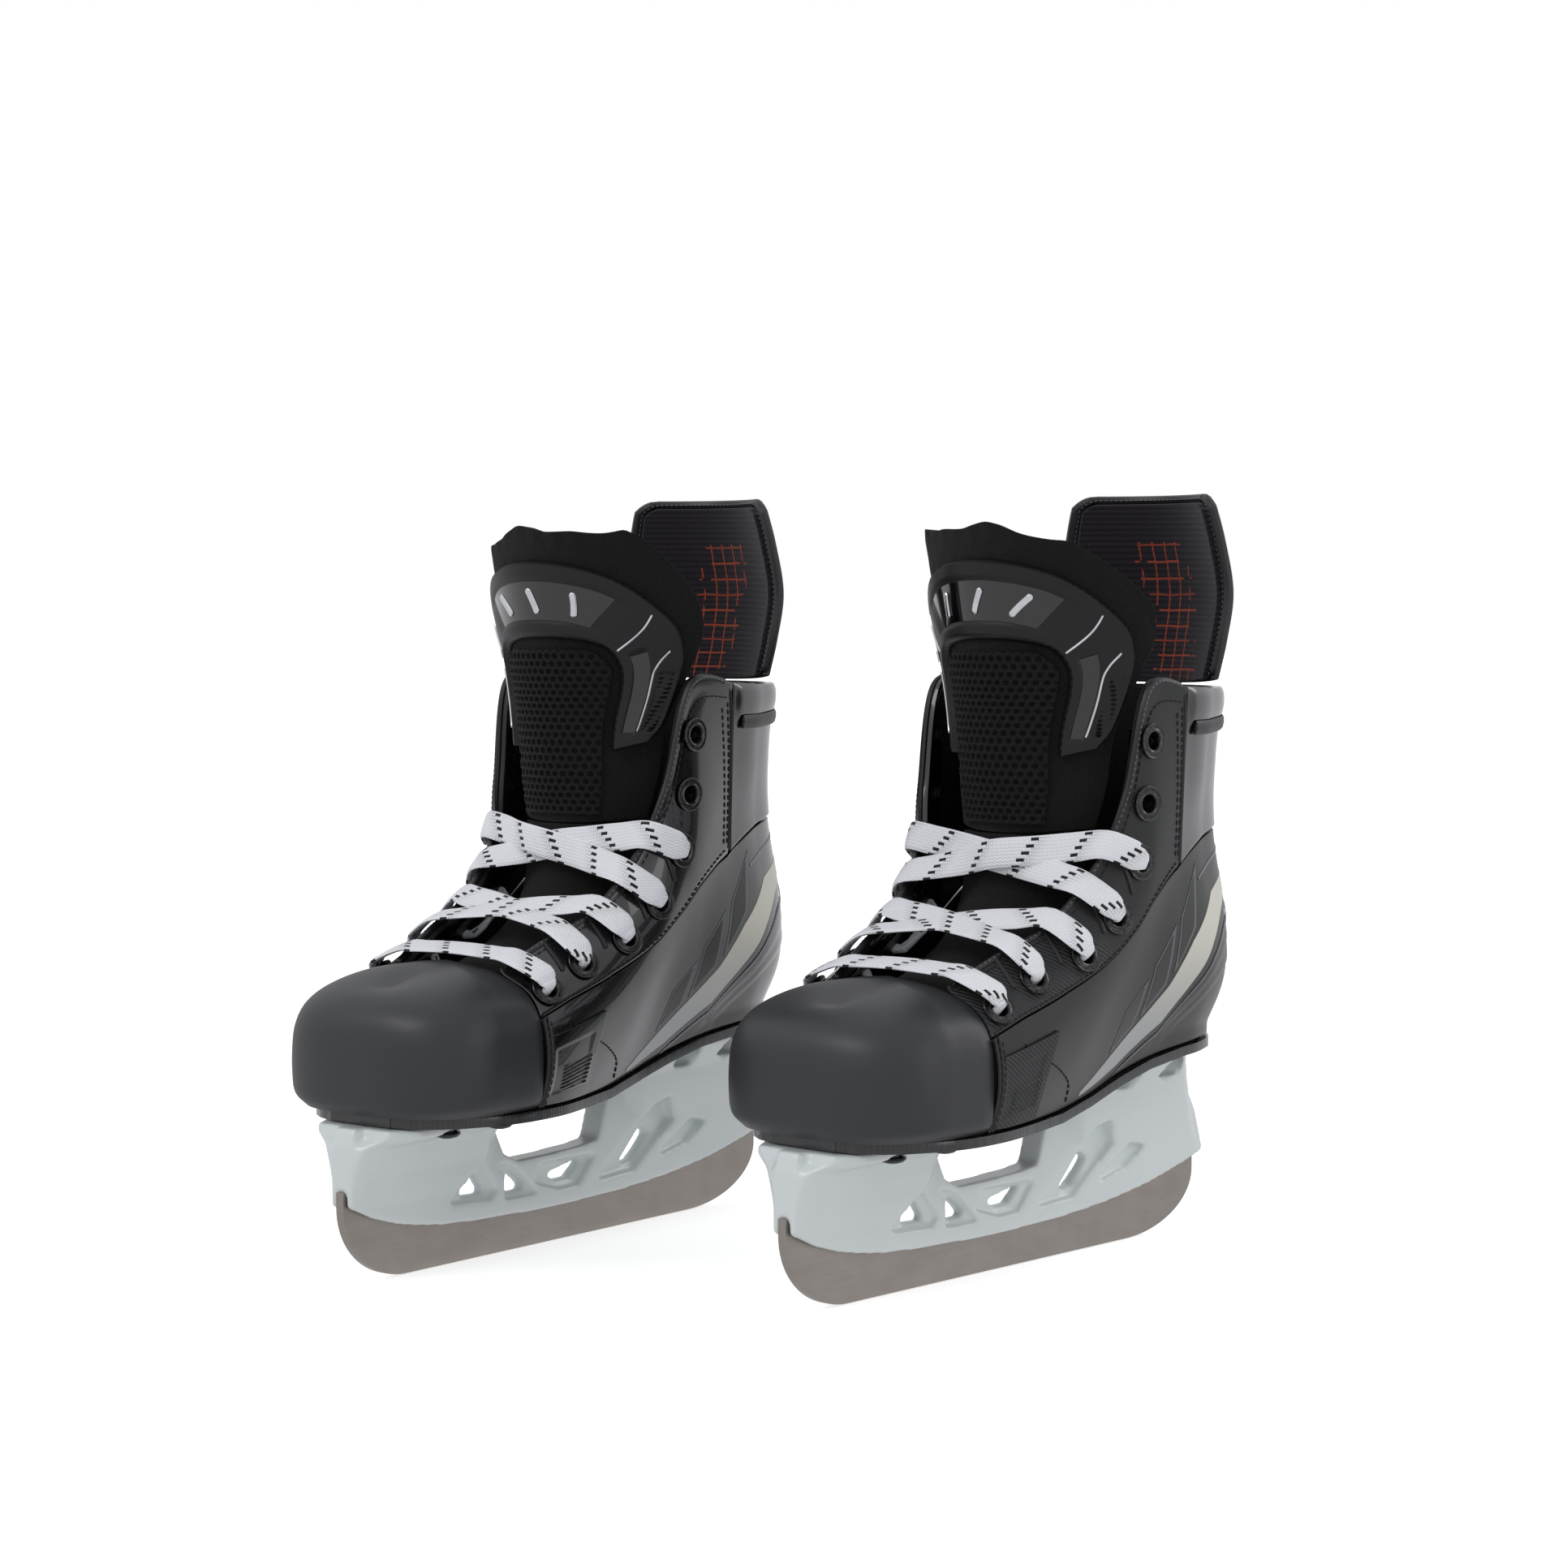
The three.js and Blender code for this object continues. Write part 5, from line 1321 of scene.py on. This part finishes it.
plate = wall("tongue_horseshoe", tongue(at[..., 1], at[..., 0], 0.7 + plate_relief * 0.85),
             tongue(at[..., 1], at[..., 0], 0.35),
             np.stack([at[..., 0] * half, at[..., 1] * 16.5], -1))
set_down(plate, "tongue", plate_matt, ["tongue_guard"], smooth=50)

# %% Gloss recesses, bright lines and the crest bars
piano = Finish("piano_black", Coat_Weight=1.0, Coat_Roughness=0.03)
speck = piano.noise(piano.place(), 1400, 3)
piano.set(Base_Color=piano.mix(speck * 0.3, paint("040405"), paint("15151a")),
          Roughness=0.08 + speck * 0.08)


def horseshoe_film(name, a0, a1, b0, b1, out, n=60, m=8):
    a, b = np.meshgrid(np.linspace(a0, a1, n), np.linspace(b0, b1, m), indexing="ij")
    p = horseshoe(a, b)
    return wall(name, tongue(p[..., 1], p[..., 0], out), tongue(p[..., 1], p[..., 0], out - 0.3),
                p * 16)


def horseshoe_path(knots, out, n=60):
    ab = smooth_row(knots, np.linspace(0, len(knots) - 1, n))
    p = horseshoe(ab[:, 0], ab[:, 1])
    on = tongue(p[:, 1], p[:, 0], out)
    return on, unit(tongue(p[:, 1], p[:, 0], out + 1) - on)


mirror_a = lambda a, side: a if side > 0 else 1 - a
films, lines = [], []
for side in (1, -1):
    films.append(horseshoe_film("gutter", mirror_a(0.045, side), mirror_a(0.27, side), 0.23, 0.49,
                                2.5))
    for knots in ([(0.3, 0.1), (0.318, 0.5), (0.34, 0.84)],
                  [(0.05, 0.535), (0.12, 0.53), (0.2, 0.53), (0.235, 0.62), (0.26, 0.8)]):
        path, out = horseshoe_path([(mirror_a(a, side), b) for a, b in knots], 3.1)
        lines.append((path, out, 0.42))
films.append(horseshoe_film("crest", 0.39, 0.61, 0.22, 0.72, 2.45))
set_down(merge("gloss_recesses", films), "tongue", piano)
for a in (0.435, 0.5, 0.565):                  # three plain slanted bars as a crest
    path, out = horseshoe_path([(a + 0.008, 0.3), (a - 0.008, 0.62)], 2.75, 16)
    lines.append((path, out, 1.15, 0.5))
set_down(beads("bright_lines", lines), "tongue", bright)
edge_rows = []
for b in (0.045, 0.955):
    a = np.linspace(0.01, 0.99, 260)
    p = horseshoe(a, b + 0 * a)
    on = tongue(p[:, 1], p[:, 0], 2.35)
    edge_rows.append((on, unit(tongue(p[:, 1], p[:, 0], 3.35) - on)))
set_down(stitches("horseshoe_stitching", edge_rows, pitch=2.6, long=1.6, thick=0.5), "tongue",
         thread, smooth=60)
print("tongue done")

# %% [markdown]
# ## Tendon guard
#
# A tall leaf of flexible plastic stands behind the Achilles tendon. It is a curved sheet with
# the corners cut off at the top, bound at the edge, and lined with a ribbed knit that has a
# printed grid of thin orange lines.

# %% Guard leaf and liner
GUARD = [(183.6, 81, 31, 17), (198, 85, 33, 18.5), (214, 87.5, 33, 17.5), (231, 84, 30.5, 15),
         (246, 80, 26.5, 12)]


def guard(t, f, out=0.0):
    t, f = np.broadcast_arrays(np.asarray(t, float), np.asarray(f, float))
    z, y, half, sag = np.moveaxis(smooth_row(GUARD, t), -1, 0)
    side = unit(np.stack([2 * sag * f / half, 1 + 0 * f, 0 * f], -1))
    return (np.stack([f * half, y - sag * f * f, lift_of(z)], -1)
            + side * np.asarray(out, float)[..., None])


corner_cut = lambda f: 0.2 * np.clip((np.abs(f) - 0.84) / 0.16, 0, 1) ** 2


def guard_wall(name, low, high, half_f, d_in, d_out, n=70, m=60):
    f = np.linspace(-half_f, half_f, m + 1)
    k = np.linspace(0, 1, n + 1)
    F, K = np.meshgrid(f, k)
    corner = corner_cut(F / half_f)
    T = (low + RELIEF * F**2) * (1 - K) + (high - corner) * K
    half = smooth_row(GUARD, T)[..., 2]
    return wall(name, guard(T, F, d_out(F, K)), guard(T, F, d_in(F, K)),
                np.stack([F * half, T * 15.6], -1))


guard_plastic = toned("guard_plastic", "1b1b1d", "2c2c30", 0.4, 900, 0.00005, 25, Coat_Weight=0.25,
                      Coat_Roughness=0.25)
rib_out = lambda F, K: 2.4 + 0.5 * np.exp(-((np.abs(F) - 0.55) / 0.06) ** 2) * np.sin(np.pi * K)
leaf = guard_wall("tendon_leaf", 0.0, 3.98, 1.0, lambda F, K: 0 * F, rib_out)
set_down(bevel_edges(leaf, 0.7, 3), "guard", guard_plastic, ["tendon_guard"])

liner = Finish("liner_ribbed_knit", Roughness=0.9, Sheen_Weight=0.2, Specular_IOR_Level=0.3)
lx, lz, _ = liner.parts(liner.place("UV"))
wale = ((lz * 3300).wave() * 0.5 + 0.5) * ((lx * 6800).wave() * 0.25 + 0.75)
fuzz = liner.noise(liner.place(), 1500, 4, 0.7)
wobble = (liner.noise(liner.place(), 90, 1) - 0.5) * 0.0012
cell = 0.0051
gx, gz = (lx + wobble) / cell, (lz - wobble) / cell
near_line = ((gx.fract() - 0.5).size() > 0.44).most((gz.fract() - 0.5).size() > 0.44)
from_middle = (lx * 1000 + lz * 260 - 9.5).size()
across_band = from_middle < 11.5
along_band = (lz < 0.047) * (lz > -0.01)
ragged = liner.noise(liner.stretch(liner.place("UV"), (180, 180, 180)), 1.0, 0) > 0.44
print_mask = near_line * across_band * along_band * ragged.most(from_middle < 7)
colour = liner.mix(wale * 0.5 + fuzz * 0.3, paint("100d12"), paint("332c37"))
liner.set(Base_Color=liner.mix(print_mask * 0.9, colour, paint("a3452b")))
liner.relief(wale * 0.7 + fuzz * 0.3, 0.0004)
stuffed = lambda F, K: -0.35 - 2.2 - 0.5 * np.sin(np.pi * K) * np.cos(F * 1.45)
lined = guard_wall("tendon_liner", 0.03, 3.86, 0.93, stuffed, lambda F, K: -0.35 + 0 * F)
guard_liner, guard_liner_twin = set_down(bevel_edges(lined, 0.9, 3), "guard", liner,
                                         ["tendon_guard_liner"])

# %% Bound edge of the guard
top_f, up_side = np.linspace(-1, 1, 61)[1:-1], np.linspace(0.2, 3.74, 40)
rim_f = np.concatenate([np.full(40, -1.0), top_f, np.full(40, 1.0)])
rim_t = np.concatenate([up_side, 3.95 - corner_cut(top_f), up_side[::-1]])
rim_line = guard(rim_t, rim_f * 0.99, 0.6)
rim_out = unit(rim_line - guard(rim_t, rim_f * 0.8, 0.4))
set_down(beads("guard_binding", [(rim_line, rim_out, 1.5)]), "guard", binding)
fleck_line = guard(rim_t, rim_f * 0.955, -0.9)
fleck_out = unit(guard(rim_t, rim_f * 0.955, -1.9) - fleck_line)
set_down(stitches("guard_flecks", [(fleck_line, fleck_out)], pitch=1.7, long=1.0, thick=0.3),
         "guard", silver_thread, smooth=60)
print("guard done")

# %% [markdown]
# ## Sole, footbed and rivets
#
# Under the boot runs a glossy composite outsole with an S-curve from toe to raised heel. The
# rivet heads below are half-round, turned like the grommets, with their shanks and clinch plate
# above. The insole board stays as the CAD has it, under a foam footbed.

# %% Outsole and footbed
def sole_wall(name, inset, low, high, y0, y1, crown=0.0, n=110, m=26):
    y = y0 + (y1 - y0) * (1 - np.cos(np.linspace(0, np.pi, n))) / 2
    rows = smooth_row(SOLE_OUTLINE, np.interp(y, [r[0] for r in SOLE_OUTLINE],
                                              np.arange(len(SOLE_OUTLINE))))
    half = np.maximum(rows[:, 1] - inset, 4)
    f = np.sin(np.linspace(-np.pi / 2, np.pi / 2, m + 1))
    tuck = np.where(f < 0, 3 * np.maximum(0, 1 - np.abs(y - 3) / 45)[:, None], 0)
    x = f[None] * half[:, None] + np.abs(f)[None] * tuck
    Y = np.repeat(y[:, None], m + 1, 1)
    top = np.repeat(sole_top(y)[:, None], m + 1, 1)
    cup = crown * np.abs(f)[None] ** 3
    uv = np.stack([x, Y], -1)
    return wall(name, np.stack([x, Y, top + high + cup], -1), np.stack([x, Y, top + low], -1), uv)


carbon = Finish("outsole_composite", Coat_Weight=0.7, Coat_Roughness=0.12)
ox, oy, _ = carbon.parts(carbon.place("UV"))
over = (((ox * 480).floor() + (oy * 480).floor()) * 0.5).fract() > 0.25
rib_x, rib_y = ((tow * 3016 * 2).wave() * 0.5 + 0.5 for tow in (ox, oy))
weave_o = over * rib_x + (1 - over) * rib_y
carbon.set(Base_Color=carbon.mix(weave_o * 0.6, paint("151618"), paint("2d2e31")),
           Roughness=0.32 - weave_o * 0.08)
carbon.relief(weave_o, 0.00006)
OUTSOLE_T, FLANGE_T = 3.4, 2.6
RIVETS = {"toe": ((-77, -53), 17.5), "heel": ((45, 67), 13.5)}      # pair of y, and x either side
plate = sole_wall("composite_outsole", -0.8, -OUTSOLE_T, -0.35, -97.4, 87.3)
plate = cut(bevel_edges(plate, 0.7, 3), hole_cutters(
    [dict(at=np.array([s * x, y, float(sole_top(y))]), out=np.array([0, 0, 1.0]))
     for ys, x in RIVETS.values() for y in ys for s in (1, -1)], 2.3))
set_down(plate, "skate", carbon, ["outsole"])
foam = toned("footbed_foam", "17181b", "26282c", 0.9, 1400, 0.0003, 40)
bed = sole_wall("foam_footbed", SHELL + 3.4, 1 + 1.05 + 1.8, 1 + 1.05 + 4.2, -89.5, 77.5, 1.1)
bed, bed_twin = set_down(bevel_edges(bed, 1.0, 3), "skate", foam, ["footbed"])

# %% Rivets
rivet_paint = Finish("rivet_paint", Metallic=0.7, Coat_Weight=0.3)
speck = rivet_paint.noise(rivet_paint.place(), 1700, 3)
rivet_paint.set(Base_Color=rivet_paint.mix(speck.ease(0.62, 0.7), paint("151618"), paint("6c6e72")),
                Roughness=0.36 + speck * 0.12)
RIVET = [(0.02, 5.2), (1.9, 5.2), (2.0, 0.0), (4.2, 0.0), (4.15, -0.5), (3.3, -1.3),
         (1.9, -1.72), (0.02, -1.85)]
head_turned = turned_ring("rivet_head", RIVET, 24)
HEAD = np.array([v.co for v in head_turned.data.vertices])
HEAD_FACES = [tuple(p.vertices) for p in head_turned.data.polygons]
bpy.data.objects.remove(head_turned)
for end, (ys, x) in RIVETS.items():
    parts, reach = [], x + 6
    for y in ys:
        for s in (1, -1):
            z = float(sole_top(y)) - OUTSOLE_T - FLANGE_T - 0.7
            parts.append(outward(mesh_of("rivet", HEAD * 1000 + (s * x, y, z), HEAD_FACES), 0))
    yy, xx = np.meshgrid(np.linspace(ys[0] - 7, ys[1] + 7, 20), np.linspace(-reach, reach, 9),
                         indexing="ij")
    top = sole_top(yy)
    plate = wall("clinch", np.stack([xx, yy, top + 1.0], -1), np.stack([xx, yy, top + 0.05], -1),
                 np.stack([xx, yy], -1))
    set_down(merge(f"{end}_rivet_set", parts + [bevel_edges(plate, 0.2)]), "skate", rivet_paint,
             [f"{end}_rivets"])
print("sole done")

# %% [markdown]
# ## Runner
#
# The runner is a plate of stainless steel, 3 mm thick, curled up at toe and heel, with its
# ground edge flat in the middle. Its outline is drawn on both faces, and Bevel breaks its
# edges. The steel is brushed along its length with slow stains across.

# %% Runner plate
HOLDER_LOW = [(-106, 24.5), (-98, 20.4), (-82, 15.6), (-64, 13.3), (-46, 12.3), (-20, 11.7),
              (10, 12), (30, 13), (50, 14.8), (70, 17.8), (86, 21.4), (99, 25)]
a = np.linspace(0, np.pi / 2, 34)
low_edge = np.concatenate([np.stack([-79 - 27.5 * np.cos(a), 24 - 24 * np.sin(a)], 1),
                           np.stack([np.linspace(-75, 56, 40), np.zeros(40)], 1),
                           np.stack([60 + 37 * np.sin(a), 19 - 19 * np.cos(a)], 1)])
y = low_edge[:, 0]
SEATED = 4.65                                   # how far the steel goes into the holder
seat = smooth_row(HOLDER_LOW, np.interp(y, [r[0] for r in HOLDER_LOW], np.arange(12)))[:, 1]
seat = seat + SEATED
seat = np.maximum(seat, low_edge[:, 1] + 0.4)
share = np.linspace(0, 1, 9)
side_z = low_edge[:, 1][:, None] + (seat - low_edge[:, 1])[:, None] * share
side_y = np.repeat(y[:, None], 9, 1)
sheet_at = lambda x: np.stack([x + 0 * side_y, side_y, side_z], -1)
steel = Finish("brushed_steel", Metallic=1.0, Anisotropic=0.4)
where = steel.place("UV")
streak = steel.noise(steel.stretch(where, (18, 900, 1)), 1.0, 5, 0.75)
stain = steel.noise(steel.stretch(where, (55, 95, 1)), 1.0, 4, 0.6)
_, rz, _ = steel.parts(where)
near_edge = 1 - rz.ease(0.0005, 0.0035)
steel.set(Base_Color=steel.mix(stain * 0.6 + streak * 0.4, paint("8b847e"), paint("bdb6af")),
          Roughness=0.3 + streak * 0.2 + stain * 0.08 - near_edge * 0.08)
steel.relief(streak, 0.00003)
runner = wall("steel_runner", sheet_at(1.5), sheet_at(-1.5), np.stack([side_y, side_z], -1))
set_down(bevel_edges(runner, 0.28, 2), "skate", steel, ["runner"])

# %% [markdown]
# ## Blade holder
#
# The holder is one injection moulding: a thin rail with a toe tower and a heel tower, joined
# by crossed struts. Mouldings have a fillet in every corner, so a copy of the CAD solid is
# remeshed to an even fine grid and smoothed a little, which rounds every edge alike. A copy is
# used because the CAD's own mesh is never changed.

# %% Holder, remeshed and softened
holder_white = Finish("holder_plastic", Coat_Weight=0.35, Coat_Roughness=0.16,
                      Subsurface_Weight=0.08, Subsurface_Scale=0.004)
slow, speck = (holder_white.noise(holder_white.place(), s, 3) for s in (16, 1300))
holder_white.set(Base_Color=holder_white.mix(slow, paint("d3dada"), paint("e2e7e7")),
                 Roughness=0.3 + (slow - 0.5) * 0.08 + (speck - 0.5) * 0.05)
holder_white.relief(speck, 0.00002)

source = frame["nodes"]["left_blade_holder"]
data = source.data.copy()
data.materials.clear()
data.transform(STAND["left"].inverted())
holder = bpy.data.objects.new("moulded_holder", data)
bpy.context.scene.collection.objects.link(holder)
outward(holder, 1e-5)
finish_with(holder, "REMESH", mode="VOXEL", voxel_size=0.00085, adaptivity=0.0)
finish_with(holder, "SMOOTH", factor=0.5, iterations=9)
set_down(holder, "skate", holder_white, ["blade_holder"], smooth=80)
print("holder faces", len(holder.data.polygons))

# %% The insole board keeps its CAD shape and gets its finish
fibreboard = toned("insole_fibreboard", "7c7060", "a3957f", 0.85, 500, 0.0001, 60)
for foot in ("left", "right"):
    board = frame["nodes"][f"{foot}_insole_board"]
    board.data.materials.clear()
    board.data.materials.append(fibreboard.material)

bpy.ops.object.select_all(action="DESELECT")
seen_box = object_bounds()
plain = lambda box: [[round(float(c), 6) for c in corner] for corner in box]
{"cad": plain(cad_box), "visual": plain(seen_box)}
print("CAD box", plain(cad_box), "visual box", plain(seen_box))
print("faces in all", sum(len(o.data.polygons) for o in pieces.values()))
